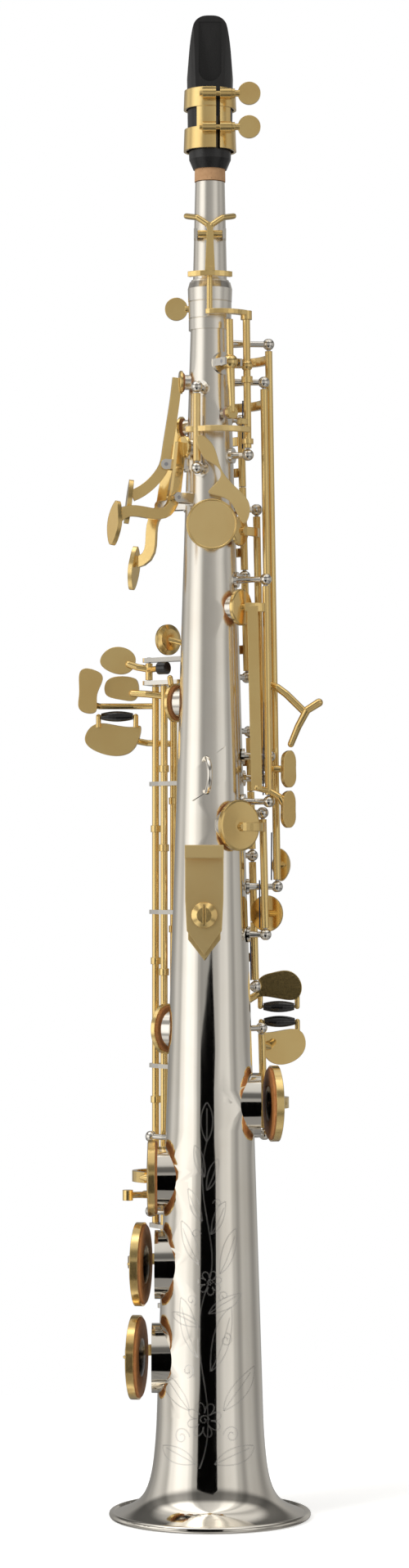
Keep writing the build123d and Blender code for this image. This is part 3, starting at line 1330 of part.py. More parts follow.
def build():
    """Every node of the instrument by name."""
    forks, pins = palm_posts()
    octave_fork, octave_pin = body_octave_fork()
    low_bb, low_bb_pad = make_low_bb_key()
    low_b, low_b_pad = make_low_b_key()
    low_c, low_c_pad = make_low_c_key()
    return {
        "body_tube": make_body_tube(),
        "bell_flare": make_bell_flare(),
        "bell_rim": make_bell_rim(),
        "neck_receiver": make_neck_receiver(),
        "neck_tube": make_neck_tube(),
        "neck_cork": make_neck_cork(),
        "mouthpiece": make_mouthpiece(),
        "ligature": make_ligature(),
        "thumb_rest": make_thumb_rest(),
        "strap_ring": make_strap_ring(),
        "thumb_hook_plate": make_thumb_hook_plate(),
        "octave_vents": make_octave_vents(),
        "key_posts": make_key_posts() + forks + [octave_fork],
        "rod_brackets": make_rod_brackets(),
        "hinge_rods": make_hinge_rods() + pins + [octave_pin, make_neck_pivot_pin()],
        "neck_clamp_screw": make_neck_clamp_screw(),
        "ligature_screw_upper": make_ligature_screw(LIGATURE_SCREWS_Z[0]),
        "ligature_screw_lower": make_ligature_screw(LIGATURE_SCREWS_Z[1]),
        "thumb_hook": make_thumb_hook(),
        "thumb_hook_screw": make_thumb_hook_screw(),
        "neck_octave_key": make_neck_octave_key(),
        "octave_lever": make_octave_lever(),
        "octave_rocker": make_octave_rocker(),
        "body_octave_key": make_body_octave_key(),
        "palm_d_key": make_palm_key("palm_d"),
        "palm_eb_key": make_palm_key("palm_eb"),
        "palm_f_key": make_palm_key("palm_f"),
        "front_f_key": make_front_f_key(),
        "c_vent_key": make_c_vent_key(),
        "b_key": make_b_key(),
        "a_key": make_a_key(),
        "bis_key": make_bis_key(),
        "g_key": make_g_key(),
        "g_sharp_key": make_g_sharp_key(),
        "g_sharp_lever": make_g_sharp_lever(),
        "f_sharp_key": make_f_sharp_key(),
        "f_key": make_f_key(),
        "e_key": make_e_key(),
        "d_key": make_d_key(),
        "f_sharp_trill_key": make_f_sharp_trill_key(),
        "side_bb_key": make_side_bb_key(),
        "side_c_key": make_side_c_key(),
        "high_e_key": make_high_e_key(),
        "high_f_sharp_key": make_high_f_sharp_key(),
        "low_eb_key": make_low_eb_key(),
        "low_c_key": low_c,
        "low_c_pad": low_c_pad,
        "low_c_sharp_lever": make_low_c_sharp_lever(),
        "low_c_sharp_key": make_low_c_sharp_key(),
        "low_b_key": low_b,
        "low_b_pad": low_b_pad,
        "low_bb_key": low_bb,
        "low_bb_pad": low_bb_pad,
        "low_bb_roller": make_roller("low_bb_roller"),
        "low_eb_roller": make_roller("low_eb_roller"),
        "low_c_roller": make_roller("low_c_roller"),
    }


def main():
    """Write every node to its own file."""
    os.makedirs("parts", exist_ok=True)
    for name, solids in build().items():
        write(name, solids)


if __name__ == "__main__":
    main()
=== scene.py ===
"""Looks of a straight soprano saxophone: silver-plated tube, gold-lacquered keys, black mouthpiece."""

import json
import math

import bmesh
import bpy
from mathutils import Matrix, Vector
from mathutils.bvhtree import BVHTree

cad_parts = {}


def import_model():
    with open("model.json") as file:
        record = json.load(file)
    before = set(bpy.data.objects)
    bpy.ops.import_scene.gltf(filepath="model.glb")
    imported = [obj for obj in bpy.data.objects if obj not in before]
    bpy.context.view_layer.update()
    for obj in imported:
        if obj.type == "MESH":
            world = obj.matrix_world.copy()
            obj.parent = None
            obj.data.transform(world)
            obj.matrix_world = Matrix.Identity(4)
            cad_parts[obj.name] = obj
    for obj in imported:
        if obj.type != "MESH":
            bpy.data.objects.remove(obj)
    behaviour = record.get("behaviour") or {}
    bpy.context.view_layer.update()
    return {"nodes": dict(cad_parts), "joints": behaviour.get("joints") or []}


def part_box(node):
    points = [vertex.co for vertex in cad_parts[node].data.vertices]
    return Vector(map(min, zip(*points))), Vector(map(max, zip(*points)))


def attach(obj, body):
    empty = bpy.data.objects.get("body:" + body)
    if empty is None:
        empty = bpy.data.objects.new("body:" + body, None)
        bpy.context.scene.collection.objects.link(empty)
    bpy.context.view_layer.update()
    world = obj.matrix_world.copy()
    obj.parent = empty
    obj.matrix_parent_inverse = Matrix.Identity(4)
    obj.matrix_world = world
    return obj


# Lengths are in metres and angles in degrees, unless a name or comment says otherwise.
ROOT = "instrument"            # the fixed body

# ---- camera
CAMERA_DISTANCE = 1.717
CAMERA_HEIGHT = 0.299
CAMERA_LENS = 85.6             # millimetres, as the sensor
CAMERA_SENSOR = 36.0
CAMERA_SHIFT_X = -0.0035       # share of the picture's longer side
CAMERA_SHIFT_Y = 0.053
CAMERA_NEAR = 0.01

# ---- silver plate
MIRROR_HEIGHT = 0.25           # below this the silver is a mirror
SATIN_HEIGHT = 0.44            # above this it is satin
SATIN_ROUGHNESS = 0.17         # added to the mirror's roughness

# ---- painting
# Nodes that are painted in one finish
SINGLE_FINISH = {
    "silver": ("body_tube", "bell_flare", "bell_rim", "neck_receiver", "neck_tube", "strap_ring",
               "octave_vents"),
    "post": ("key_posts", "rod_brackets"),
    "steel": ("hinge_rods",),
    "rubber": ("mouthpiece",),
    "cork": ("neck_cork",),
    "satin_gold": ("thumb_rest", "thumb_hook", "thumb_hook_plate", "octave_lever"),
    "gold": ("neck_clamp_screw", "thumb_hook_screw", "ligature", "ligature_screw_upper",
             "ligature_screw_lower", "octave_rocker", "low_b_key", "low_bb_key", "low_c_key",
             "low_c_sharp_lever", "front_f_key"),
    "black": ("low_bb_roller", "low_eb_roller", "low_c_roller"),
}
# Soft parts that end the CAD face list of a key's node, as (finish, number of faces)
PAD = (("resonator", 2), ("leather", 4))
PEARL = (("pearl", 5),)
DISC_FACES = 3                 # a disc in place of a pad
PEARL_KEYS = ("d_key", "e_key", "f_key", "g_key", "a_key", "b_key", "bis_key")
DISC_FINISH = {"g_sharp_lever": "black", "neck_octave_key": "felt", "body_octave_key": "felt"}

# ---- engraving
ENGRAVE_LIFT = 0.00003         # ribbons sit just above the plating
ENGRAVE_WIDTH = 0.00014
WIGGLE_REACH = 0.00034         # half width of a wiggle cut
WIGGLE_STEP = 0.00042          # advance per cut
ENGRAVE_FOOT_Z = 0.026         # lowest point of the stem
ENGRAVE_AZIMUTH = math.radians(-4.0)   # from the player's side
RAY_START = 0.2                # distance from the axis, outside the bell
SCROLL_STEPS = 36              # points per turn
SCROLL_WINDING = 0.86          # share of the radius that a scroll loses on its way in
PETAL_FOOT = 0.36              # shares of a flower's reach
PETAL_BULGE = 1.25
FLOWER_HEART = 0.28
FLOWER_TURN = 0.3              # radians to the first petal

# Leaves of the engraving: (across, height, angle, length, width, bend), in millimetres from the foot
LEAVES = (
    (-5, 2, 150, 20, 5.0, 4), (4, 2, 28, 22, 5.2, -4), (-8, 26, 130, 26, 5.6, 4),
    (8, 26, 55, 26, 5.6, -4), (2, 44, 62, 30, 5.4, 5), (-4, 50, 118, 28, 5.2, -5),
    (-3, 64, 148, 16, 3.4, 3), (1, 70, 38, 18, 3.6, -3), (6, 88, 60, 22, 4.2, 3),
    (-3, 92, 124, 22, 4.2, -3), (2, 106, 55, 16, 3.2, 3), (-2, 112, 128, 16, 3.2, -3),
    (0, 126, 62, 15, 3.0, 2), (-1, 132, 116, 15, 3.0, -2), (0, 148, 90, 18, 3.6, 0),
)
# Its scrolls: (across, height, radius, turns, first angle, side to which it winds)
SCROLLS = (
    (-12, 14, 4.2, 1.5, 0, 1), (12, 15, 4.2, 1.5, 180, -1), (-9, 44, 3.4, 1.4, 270, 1),
    (9, 58, 3.2, 1.4, 90, -1), (-7, 76, 2.8, 1.3, 300, 1), (8, 78, 2.6, 1.3, 240, -1),
    (-5, 106, 2.4, 1.2, 0, 1), (5, 120, 2.2, 1.2, 180, -1),
)

# ---- thumb-rest rim
RIM_RADIUS = 0.00055
RIM_INSET = 0.0006             # from the plate's edge to the middle of the rim
RIM_SINK = 0.6                 # share of the rim's radius by which its middle lies behind the face
RIM_STEPS = 96
RIM_SIDES = 10

# ---- springs
SPRING_RADIUS = 0.00032
SPRING_SIDES = 8
SPRING_OFFSET = 0.0026         # from the hinge line towards the tube
SPRING_LENGTH = 0.022
SPRING_FOOT = 0.003            # above the hinge's lower end
SPRING_LEAN = 0.0004           # of the tip, away from the tube
UPRIGHT = 0.97                 # cosine from which a hinge counts as upright

# ---- studio
# Brightness round the object: (degrees from the camera's side, positive to the right, brightness)
STUDIO_PANELS = (
    (-180, 0.30), (-150, 0.26), (-136, 0.34), (-112, 0.62), (-95, 0.50), (-82, 0.95),
    (-66, 1.20), (-48, 1.10), (-40, 0.80), (-33, 0.40), (-24, 0.30), (-14, 0.34),
    (2, 0.36), (18, 0.42), (34, 0.66), (50, 0.72), (60, 0.46), (72, 0.30),
    (84, 0.46), (100, 0.42), (123, 0.26), (150, 0.40), (180, 0.30),
)
PANEL_TINT = (1.0, 0.985, 0.955)
# Gain by height of the direction: (sine of the elevation, gain)
STUDIO_LEVELS = (
    (-1.0, 0.75), (-0.62, 0.70), (-0.45, 0.32), (-0.22, 0.90), (-0.1, 1.0),
    (0.3, 1.0), (0.46, 0.30), (0.62, 0.35), (0.80, 1.7), (1.0, 1.9),
)
WHITE = (1.0, 1.0, 1.0)

# ---- lights
# Area lights: (name, place, size, watts)
LIGHT_PANELS = (
    ("key_panel", (-1.1, -0.9, 1.0), 1.0, 16.0),
    ("fill_panel", (1.3, -0.7, 0.8), 1.2, 8.0),
)
LIGHT_WIDTH = 0.5              # share of a light's size
LIGHT_LENGTH = 1.4
LIGHT_AIM_HEIGHT = 0.34

# ---- floor
FLOOR_RADIUS = 0.9
FLOOR_SIDES = 96
FLOOR_DROP = 0.0003            # below the rim, so that the two faces don't coincide
FLOOR_GLOW = 0.42
FLOOR_FADE_START = 0.10        # distance from the axis at which the floor begins to fade
FLOOR_FADE_END = 0.42

# ---- dark card in front of the instrument, seen only in reflections
FLAG_DISTANCE = 0.5            # from the instrument's axis
FLAG_LEFT = -0.235
FLAG_RIGHT = 0.125
FLAG_FOOT_Z = -0.3
FLAG_SHOULDER_Z = 0.225
FLAG_TIP_Z = 0.285
FLAG_TIP_X = 0.045


# ---------------------------------------------------------------- shader helpers
class Nodes:
    """Small wrapper round a node tree that keeps node building short."""

    def __init__(self, owner):
        owner.use_nodes = True
        self.tree = owner.node_tree
        self.tree.nodes.clear()

    def add(self, kind, **settings):
        """New node with its settings."""
        node = self.tree.nodes.new(kind)
        for key, value in settings.items():
            setattr(node, key, value)
        return node

    def link(self, source, target):
        """Lead an output into an input."""
        self.tree.links.new(source, target)

    def math(self, operation, first, second):
        """Result of an operation on two numbers or outputs."""
        node = self.add("ShaderNodeMath", operation=operation)
        for socket, value in zip(node.inputs, (first, second)):
            if isinstance(value, (int, float)):
                socket.default_value = value
            else:
                self.link(value, socket)
        return node.outputs[0]


class Shader(Nodes):
    """A material with one surface shader."""

    def __init__(self, name):
        self.material = bpy.data.materials.new(name)
        super().__init__(self.material)
        self.output = self.add("ShaderNodeOutputMaterial")
        self.bsdf = self.add("ShaderNodeBsdfPrincipled")
        self.link(self.bsdf.outputs["BSDF"], self.output.inputs["Surface"])
        self.place = self.add("ShaderNodeTexCoord").outputs["Object"]

    def set(self, **values):
        """Set inputs of the surface shader, with underscores for the spaces in their names."""
        for key, value in values.items():
            self.bsdf.inputs[key.replace("_", " ")].default_value = value

    def stretched(self, scale):
        """Object position stretched by a vector, for grain that runs one way."""
        mapping = self.add("ShaderNodeMapping")
        mapping.inputs["Scale"].default_value = scale
        self.link(self.place, mapping.inputs["Vector"])
        return mapping.outputs["Vector"]

    def colour(self, source):
        """Lead a colour into the surface shader."""
        self.link(source, self.bsdf.inputs["Base Color"])

    def roughness(self, source):
        """Lead a roughness into the surface shader."""
        self.link(source, self.bsdf.inputs["Roughness"])

    def noise(self, scale, detail=3.0, where=None, roughness=0.5):
        """Cloudy pattern from 0 to 1."""
        node = self.add("ShaderNodeTexNoise")
        node.inputs["Scale"].default_value = scale
        node.inputs["Detail"].default_value = detail
        node.inputs["Roughness"].default_value = roughness
        self.link(where or self.place, node.inputs["Vector"])
        return node.outputs["Fac"]

    def cells(self, scale):
        """Distance from the middle of the nearest of many irregular cells."""
        node = self.add("ShaderNodeTexVoronoi")
        node.inputs["Scale"].default_value = scale
        self.link(self.place, node.inputs["Vector"])
        return node.outputs["Distance"]

    def ramp(self, source, low, high, low_value, high_value):
        """Map a source between two stops to a value range."""
        node = self.add("ShaderNodeMapRange")
        node.inputs["From Min"].default_value = low
        node.inputs["From Max"].default_value = high
        node.inputs["To Min"].default_value = low_value
        node.inputs["To Max"].default_value = high_value
        self.link(source, node.inputs["Value"])
        return node.outputs["Result"]

    def blend(self, factor, first, second):
        """Colour mix of two RGB triples or sockets."""
        node = self.add("ShaderNodeMix", data_type="RGBA")
        self.link(factor, node.inputs["Factor"])
        for socket, value in (("A", first), ("B", second)):
            target = [i for i in node.inputs if i.name == socket and i.type == "RGBA"][0]
            if isinstance(value, tuple):
                target.default_value = (*value, 1.0)
            else:
                self.link(value, target)
        return [o for o in node.outputs if o.type == "RGBA"][0]

    def soft_edges(self, radius):
        """Round the shading over sharp edges, as polishing does."""
        node = self.add("ShaderNodeBevel", samples=4)
        node.inputs["Radius"].default_value = radius
        self.link(node.outputs["Normal"], self.bsdf.inputs["Normal"])

    def bump(self, height, strength, distance):
        """Relief on top of the relief that is already there."""
        node = self.add("ShaderNodeBump")
        node.inputs["Strength"].default_value = strength
        node.inputs["Distance"].default_value = distance
        self.link(height, node.inputs["Height"])
        previous = self.bsdf.inputs["Normal"].links
        if previous:
            self.link(previous[0].from_socket, node.inputs["Normal"])
        self.link(node.outputs["Normal"], self.bsdf.inputs["Normal"])


def metal(name, light, dark, roughness, grain, waviness=0.0, edge=0.0):
    """Metal with polishing grain, faint tarnish clouds and, where asked for, tiny waves and soft edges.

    light and dark are the colours of the clouds, roughness its lowest and highest value, grain the
    stretch of the polishing lines, waviness a bump strength and edge a radius.
    """
    shader = Shader(name)
    if edge:
        shader.soft_edges(edge)
    clouds = shader.noise(38.0, 4.0)
    shader.colour(shader.blend(shader.ramp(clouds, 0.42, 0.75, 0.0, 1.0), light, dark))
    lines = shader.noise(1.0, 2.0, shader.stretched(grain))
    low, high = roughness
    shader.roughness(shader.ramp(lines, 0.3, 0.75, low, high))
    shader.set(Metallic=1.0)
    shader.bump(lines, 0.05, 0.00006)
    if waviness:
        shader.bump(shader.noise(55.0, 1.0), waviness, 0.0006)
    return shader


def make_silver():
    """Silver plate: mirror-polished at the bell, brushed to a satin higher up."""
    shader = metal("silver_plate", (0.94, 0.895, 0.815), (0.89, 0.835, 0.745), (0.06, 0.10), (700, 700, 40),
                   waviness=0.05)
    height = shader.add("ShaderNodeSeparateXYZ")
    shader.link(shader.place, height.inputs[0])
    satin = shader.ramp(height.outputs["Z"], MIRROR_HEIGHT, SATIN_HEIGHT, 0.0, SATIN_ROUGHNESS)
    mirror = shader.bsdf.inputs["Roughness"].links[0].from_socket
    shader.roughness(shader.math("ADD", mirror, satin))
    return shader


def make_materials():
    """Every finish of the instrument by name."""
    finishes = {}
    finishes["silver"] = make_silver()
    post = metal("post_silver", (0.93, 0.89, 0.82), (0.86, 0.82, 0.75), (0.12, 0.22), (900, 900, 900))
    finishes["post"] = post
    gold = metal("gold_lacquer", (0.97, 0.71, 0.29), (0.91, 0.62, 0.23), (0.12, 0.20), (900, 900, 900),
                 waviness=0.03, edge=0.0005)
    gold.set(Metallic=0.92, Coat_Weight=0.5, Coat_Roughness=0.06)
    finishes["gold"] = gold
    satin = metal("satin_gold", (0.98, 0.73, 0.33), (0.92, 0.65, 0.27), (0.28, 0.40), (1200, 1200, 1200),
                  edge=0.0007)
    satin.set(Metallic=0.84)
    finishes["satin_gold"] = satin
    steel = metal("rod_steel", (0.58, 0.58, 0.60), (0.42, 0.42, 0.45), (0.22, 0.38), (2500, 2500, 90))
    finishes["steel"] = steel
    spring = metal("spring_steel", (0.10, 0.13, 0.24), (0.05, 0.06, 0.12), (0.2, 0.35), (3000, 3000, 300))
    finishes["spring"] = spring
    dark = metal("resonator_metal", (0.30, 0.29, 0.28), (0.14, 0.13, 0.13), (0.22, 0.4), (2000, 2000, 2000))
    finishes["resonator"] = dark
    finishes["cut"] = make_cut_metal()
    finishes["cork"] = make_cork()
    finishes["rubber"] = make_hard_rubber()
    finishes["leather"] = make_leather()
    finishes["felt"] = make_felt()
    finishes["black"] = make_black_polish()
    finishes["pearl"] = make_pearl()
    return {key: shader.material for key, shader in finishes.items()}


def make_cut_metal():
    """Bright raw silver in the engraved cuts."""
    shader = metal("engraved_cut", (0.80, 0.78, 0.75), (0.42, 0.40, 0.37), (0.30, 0.5), (3000, 3000, 3000))
    shader.bump(shader.noise(4000.0, 2.0), 0.4, 0.00008)
    return shader


def make_cork():
    """Pressed cork with dark pores."""
    shader = Shader("cork")
    grain = shader.noise(420.0, 5.0, roughness=0.7)
    base = shader.blend(grain, (0.33, 0.17, 0.075), (0.60, 0.37, 0.20))
    specks = shader.ramp(shader.cells(900.0), 0.12, 0.24, 1.0, 0.0)
    rare = shader.ramp(shader.noise(300.0, 1.0), 0.52, 0.6, 0.0, 1.0)
    pores = shader.math("MULTIPLY", specks, rare)
    shader.colour(shader.blend(pores, base, (0.10, 0.05, 0.025)))
    shader.set(Roughness=0.82)
    shader.bump(grain, 0.5, 0.0002)
    shader.bump(pores, -0.6, 0.0002)
    return shader


def make_hard_rubber():
    """Black ebonite: satin, with faint turning rings and fine scuffs."""
    shader = Shader("hard_rubber")
    scuffs = shader.noise(900.0, 4.0, shader.stretched((1, 1, 0.15)))
    shader.colour(shader.blend(scuffs, (0.006, 0.006, 0.0065), (0.016, 0.015, 0.0145)))
    shader.roughness(shader.ramp(scuffs, 0.3, 0.7, 0.20, 0.34))
    rings = shader.noise(1.0, 1.0, shader.stretched((10, 10, 2600)))
    shader.bump(rings, 0.12, 0.00008)
    shader.set(Coat_Weight=0.15, Coat_Roughness=0.2)
    return shader


def make_leather():
    """Tan pad leather with fine grain and darker creases."""
    shader = Shader("pad_leather")
    cells = shader.cells(1500.0)
    soft = shader.noise(260.0, 4.0)
    base = shader.blend(soft, (0.34, 0.115, 0.03), (0.58, 0.25, 0.075))
    crease = shader.ramp(cells, 0.35, 0.75, 0.0, 0.4)
    shader.colour(shader.blend(crease, base, (0.22, 0.075, 0.02)))
    shader.roughness(shader.ramp(soft, 0.3, 0.7, 0.42, 0.62))
    shader.bump(cells, 0.35, 0.0001)
    return shader


def make_felt():
    """Brown felt with loose fibres."""
    shader = Shader("felt")
    fibres = shader.noise(2600.0, 6.0, roughness=0.8)
    shader.colour(shader.blend(fibres, (0.12, 0.05, 0.025), (0.34, 0.17, 0.09)))
    shader.set(Roughness=0.95, Sheen_Weight=0.7, Sheen_Roughness=0.5)
    shader.bump(fibres, 0.8, 0.0002)
    return shader


def make_black_polish():
    """Turned black composite with a soft polish."""
    shader = Shader("black_polish")
    marks = shader.noise(1500.0, 3.0)
    shader.colour(shader.blend(marks, (0.006, 0.006, 0.007), (0.020, 0.019, 0.019)))
    shader.roughness(shader.ramp(marks, 0.3, 0.7, 0.10, 0.22))
    shader.set(Coat_Weight=0.4, Coat_Roughness=0.05)
    shader.bump(marks, 0.08, 0.00005)
    return shader


def make_pearl():
    """Mother-of-pearl key touch."""
    shader = Shader("pearl")
    swirl = shader.noise(260.0, 5.0, shader.stretched((1, 1, 3)), 0.6)
    first = shader.blend(swirl, (0.97, 0.95, 0.91), (0.86, 0.90, 0.88))
    glow = shader.ramp(shader.noise(120.0, 2.0), 0.45, 0.7, 0.0, 0.6)
    shader.colour(shader.blend(glow, first, (0.96, 0.88, 0.87)))
    shader.set(Roughness=0.14, Coat_Weight=0.6, Coat_Roughness=0.03)
    shader.set(Subsurface_Weight=0.1, Subsurface_Scale=0.001)
    shader.bump(swirl, 0.05, 0.0001)
    return shader


# ---------------------------------------------------------------- painting the CAD nodes
def cad_faces(mesh):
    """CAD face that each polygon belongs to, numbered in file order: every CAD face is its own island."""
    parent = list(range(len(mesh.vertices)))

    def find(index):
        """Vertex that stands for this vertex's island."""
        while parent[index] != index:
            parent[index] = parent[parent[index]]
            index = parent[index]
        return index

    for polygon in mesh.polygons:
        first = find(polygon.vertices[0])
        for index in polygon.vertices[1:]:
            parent[find(index)] = first
    numbers = {}
    return [numbers.setdefault(find(polygon.vertices[0]), len(numbers)) for polygon in mesh.polygons]


def paint(node, metal_finish, tail=()):
    """Paint a CAD node in metal, and the last CAD faces in the (finish, number of faces) entries of tail."""
    mesh = node.data
    mesh.materials.clear()
    mesh.materials.append(metal_finish)
    if not tail:
        return
    faces = cad_faces(mesh)
    start = max(faces) + 1 - sum(count for _, count in tail)
    slots = {}
    for slot, (finish, count) in enumerate(tail, start=1):
        mesh.materials.append(finish)
        slots.update(dict.fromkeys(range(start, start + count), slot))
        start += count
    for polygon, face in zip(mesh.polygons, faces):
        polygon.material_index = slots.get(face, 0)


def paint_nodes(nodes, finishes):
    """Paint every CAD node: in one finish when listed, else in gold that ends in its soft parts."""
    whole = {name: finish for finish, names in SINGLE_FINISH.items() for name in names}
    for name, node in nodes.items():
        tail = PAD
        if name in whole:
            tail = ()
        elif name in PEARL_KEYS:
            tail = PAD + PEARL
        elif name in DISC_FINISH:
            tail = ((DISC_FINISH[name], DISC_FACES),)
        base = finishes[whole.get(name, "gold")]
        paint(node, base, [(finishes[finish], count) for finish, count in tail])


# ---------------------------------------------------------------- mesh helpers
def add_object(name, data):
    """New object in the scene."""
    item = bpy.data.objects.new(name, data)
    bpy.context.scene.collection.objects.link(item)
    return item


def mesh_object(name, bm, material, body):
    """Finish a bmesh as a smooth piece riding on a body."""
    mesh = bpy.data.meshes.new(name)
    bm.normal_update()
    bm.to_mesh(mesh)
    bm.free()
    for polygon in mesh.polygons:
        polygon.use_smooth = True
    mesh.materials.append(material)
    piece = add_object(name, mesh)
    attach(piece, body)


# ---------------------------------------------------------------- engraving
def surface_lookup(nodes):
    """Function from (azimuth from the player's side, height) to a point and normal on the tube's outside."""
    vertices = []
    polygons = []
    for name in ("body_tube", "bell_flare"):
        node = nodes[name]
        offset = len(vertices)
        vertices += [node.matrix_world @ vertex.co for vertex in node.data.vertices]
        polygons += [[offset + index for index in polygon.vertices] for polygon in node.data.polygons]
    tree = BVHTree.FromPolygons(vertices, polygons)

    def look(azimuth, height):
        """Point and normal where a ray towards the axis meets the tube, or None."""
        outward = Vector((math.sin(azimuth), -math.cos(azimuth), 0.0))
        point, normal, _, _ = tree.ray_cast(outward * RAY_START + Vector((0, 0, height)), -outward)
        if point is None:
            return None
        return point, normal if normal.dot(outward) > 0 else -normal

    return look


def bezier(start, first, second, end, steps=40):
    """Points of a cubic curve in (across, height) millimetres."""
    points = []
    for k in range(steps + 1):
        t = k / steps
        weights = ((1 - t) ** 3, 3 * t * (1 - t) ** 2, 3 * t * t * (1 - t), t ** 3)
        points.append(tuple(sum(w * p[axis] for w, p in zip(weights, (start, first, second, end)))
                            for axis in (0, 1)))
    return points


def scroll(centre, radius, turns, start_angle, side):
    """Spiral that winds in towards its centre."""
    steps = int(SCROLL_STEPS * turns)
    points = []
    for k in range(steps + 1):
        t = k / steps
        angle = start_angle + side * 2 * math.pi * turns * t
        reach = radius * (1 - SCROLL_WINDING * t)
        points.append((centre[0] + reach * math.cos(angle), centre[1] + reach * math.sin(angle)))
    return points


def leaf(foot, angle, length, width, bend):
    """Outline and middle vein of a pointed leaf."""
    direction = (math.cos(angle), math.sin(angle))
    across = (-direction[1], direction[0])

    def at(along, sideways):
        """Point of the leaf from its distances along and across it."""
        return (foot[0] + direction[0] * along + across[0] * sideways,
                foot[1] + direction[1] * along + across[1] * sideways)

    tip = at(length, bend)
    return [
        bezier(foot, at(0.3 * length, width), at(0.75 * length, width + bend), tip),
        bezier(foot, at(0.3 * length, -width), at(0.75 * length, -width + bend), tip),
        bezier(foot, at(0.35 * length, 0.0), at(0.6 * length, 0.4 * bend), at(0.85 * length, 0.7 * bend), 20),
    ]


def flower(centre, petals, reach):
    """Ring of rounded petals round a small spiral."""

    def at(share, angle):
        """Point at a share of the reach from the centre."""
        return (centre[0] + share * reach * math.cos(angle), centre[1] + share * reach * math.sin(angle))

    strokes = [scroll(centre, FLOWER_HEART * reach, 1.4, 0.0, 1)]
    for k in range(petals):
        angle = 2 * math.pi * k / petals + FLOWER_TURN
        left = angle - math.pi / petals
        right = angle + math.pi / petals
        strokes.append(bezier(at(PETAL_FOOT, left), at(PETAL_BULGE, left), at(PETAL_BULGE, right),
                              at(PETAL_FOOT, right), 28))
    return strokes


def engraving_strokes():
    """Climbing stem with two flowers, leaves and scrolls, as (across, height) millimetres from its foot."""
    strokes = [
        bezier((-3, 0), (9, 30), (-12, 52), (1, 84)),
        bezier((1, 84), (7, 102), (-7, 122), (0, 148)),
    ]
    strokes += flower((-1.0, 22.0), 8, 8.5)
    strokes += flower((1.5, 84.0), 7, 6.0)
    for across, height, angle, length, width, bend in LEAVES:
        strokes += leaf((across, height), math.radians(angle), length, width, bend)
    for across, height, radius, turns, angle, side in SCROLLS:
        strokes.append(scroll((across, height), radius, turns, math.radians(angle), side))
    return strokes


def wiggle(points):
    """Zig-zag cuts along a stroke in millimetres, as (across, height) points in metres."""
    cuts = []
    side = 1
    travelled = 0.0
    for (x0, z0), (x1, z1) in zip(points, points[1:]):
        dx, dz = (x1 - x0) / 1000, (z1 - z0) / 1000
        length = math.hypot(dx, dz)
        if length == 0:
            continue
        while travelled < length:
            share = travelled / length
            cuts.append((x0 / 1000 + dx * share - side * dz / length * WIGGLE_REACH,
                         z0 / 1000 + dz * share + side * dx / length * WIGGLE_REACH))
            side = -side
            travelled += WIGGLE_STEP
        travelled -= length
    return cuts


def add_ribbon(bm, look, cuts):
    """Thin strip over the surface through a row of cuts."""
    for (x0, z0), (x1, z1) in zip(cuts, cuts[1:]):
        ends = []
        for x, z in ((x0, z0), (x1, z1)):
            height = ENGRAVE_FOOT_Z + z
            found = look(ENGRAVE_AZIMUTH, height)
            if found is None:
                ends.append(None)
                continue
            radius = math.hypot(found[0].x, found[0].y)
            ends.append(look(ENGRAVE_AZIMUTH + x / radius, height))
        if None in ends:
            continue
        (start, start_normal), (end, end_normal) = ends
        along = (end - start).normalized()
        corners = []
        for point, normal in ((start, start_normal), (end, end_normal)):
            across = normal.cross(along).normalized() * (ENGRAVE_WIDTH / 2)
            raised = point + normal * ENGRAVE_LIFT
            corners += [bm.verts.new(raised - across), bm.verts.new(raised + across)]
        bm.faces.new((corners[0], corners[2], corners[3], corners[1]))


def make_engraving(nodes, finish):
    """Floral wiggle-cut engraving on the player's side of the bell."""
    look = surface_lookup(nodes)
    bm = bmesh.new()
    for stroke in engraving_strokes():
        add_ribbon(bm, look, wiggle(stroke))
    mesh_object("bell_engraving", bm, finish, ROOT)


# ---------------------------------------------------------------- polished edge of the thumb rest
def make_thumb_rest_rim(finish):
    """Raised polished edge round the face of the thumb rest."""
    low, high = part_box("thumb_rest")
    centre = Vector(((low[0] + high[0]) / 2, low[1] + RIM_RADIUS * RIM_SINK, (low[2] + high[2]) / 2))
    reach = (high[2] - low[2]) / 2 - RIM_INSET
    bm = bmesh.new()
    rings = []
    for k in range(RIM_STEPS):
        turn = 2 * math.pi * k / RIM_STEPS
        outward = Vector((math.cos(turn), 0, math.sin(turn)))
        ring = []
        for side in range(RIM_SIDES):
            angle = 2 * math.pi * side / RIM_SIDES
            offset = outward * (math.cos(angle) * RIM_RADIUS) + Vector((0, math.sin(angle) * RIM_RADIUS, 0))
            ring.append(bm.verts.new(centre + outward * reach + offset))
        rings.append(ring)
    for first, second in zip(rings, rings[1:] + rings[:1]):
        for side in range(RIM_SIDES):
            following = (side + 1) % RIM_SIDES
            bm.faces.new((first[side], first[following], second[following], second[side]))
    bmesh.ops.recalc_face_normals(bm, faces=bm.faces)
    mesh_object("thumb_rest_rim", bm, finish, ROOT)


# ---------------------------------------------------------------- springs
def add_wire(bm, start, end):
    """Closed round spring wire between two points."""
    axis = (end - start).normalized()
    first = axis.orthogonal().normalized()
    second = axis.cross(first)
    rings = []
    for centre in (start, end):
        ring = []
        for k in range(SPRING_SIDES):
            angle = 2 * math.pi * k / SPRING_SIDES
            outward = first * math.cos(angle) + second * math.sin(angle)
            ring.append(bm.verts.new(centre + outward * SPRING_RADIUS))
        rings.append(ring)
    for k in range(SPRING_SIDES):
        following = (k + 1) % SPRING_SIDES
        bm.faces.new((rings[0][k], rings[0][following], rings[1][following], rings[1][k]))
    bm.faces.new(list(reversed(rings[0])))
    bm.faces.new(rings[1])


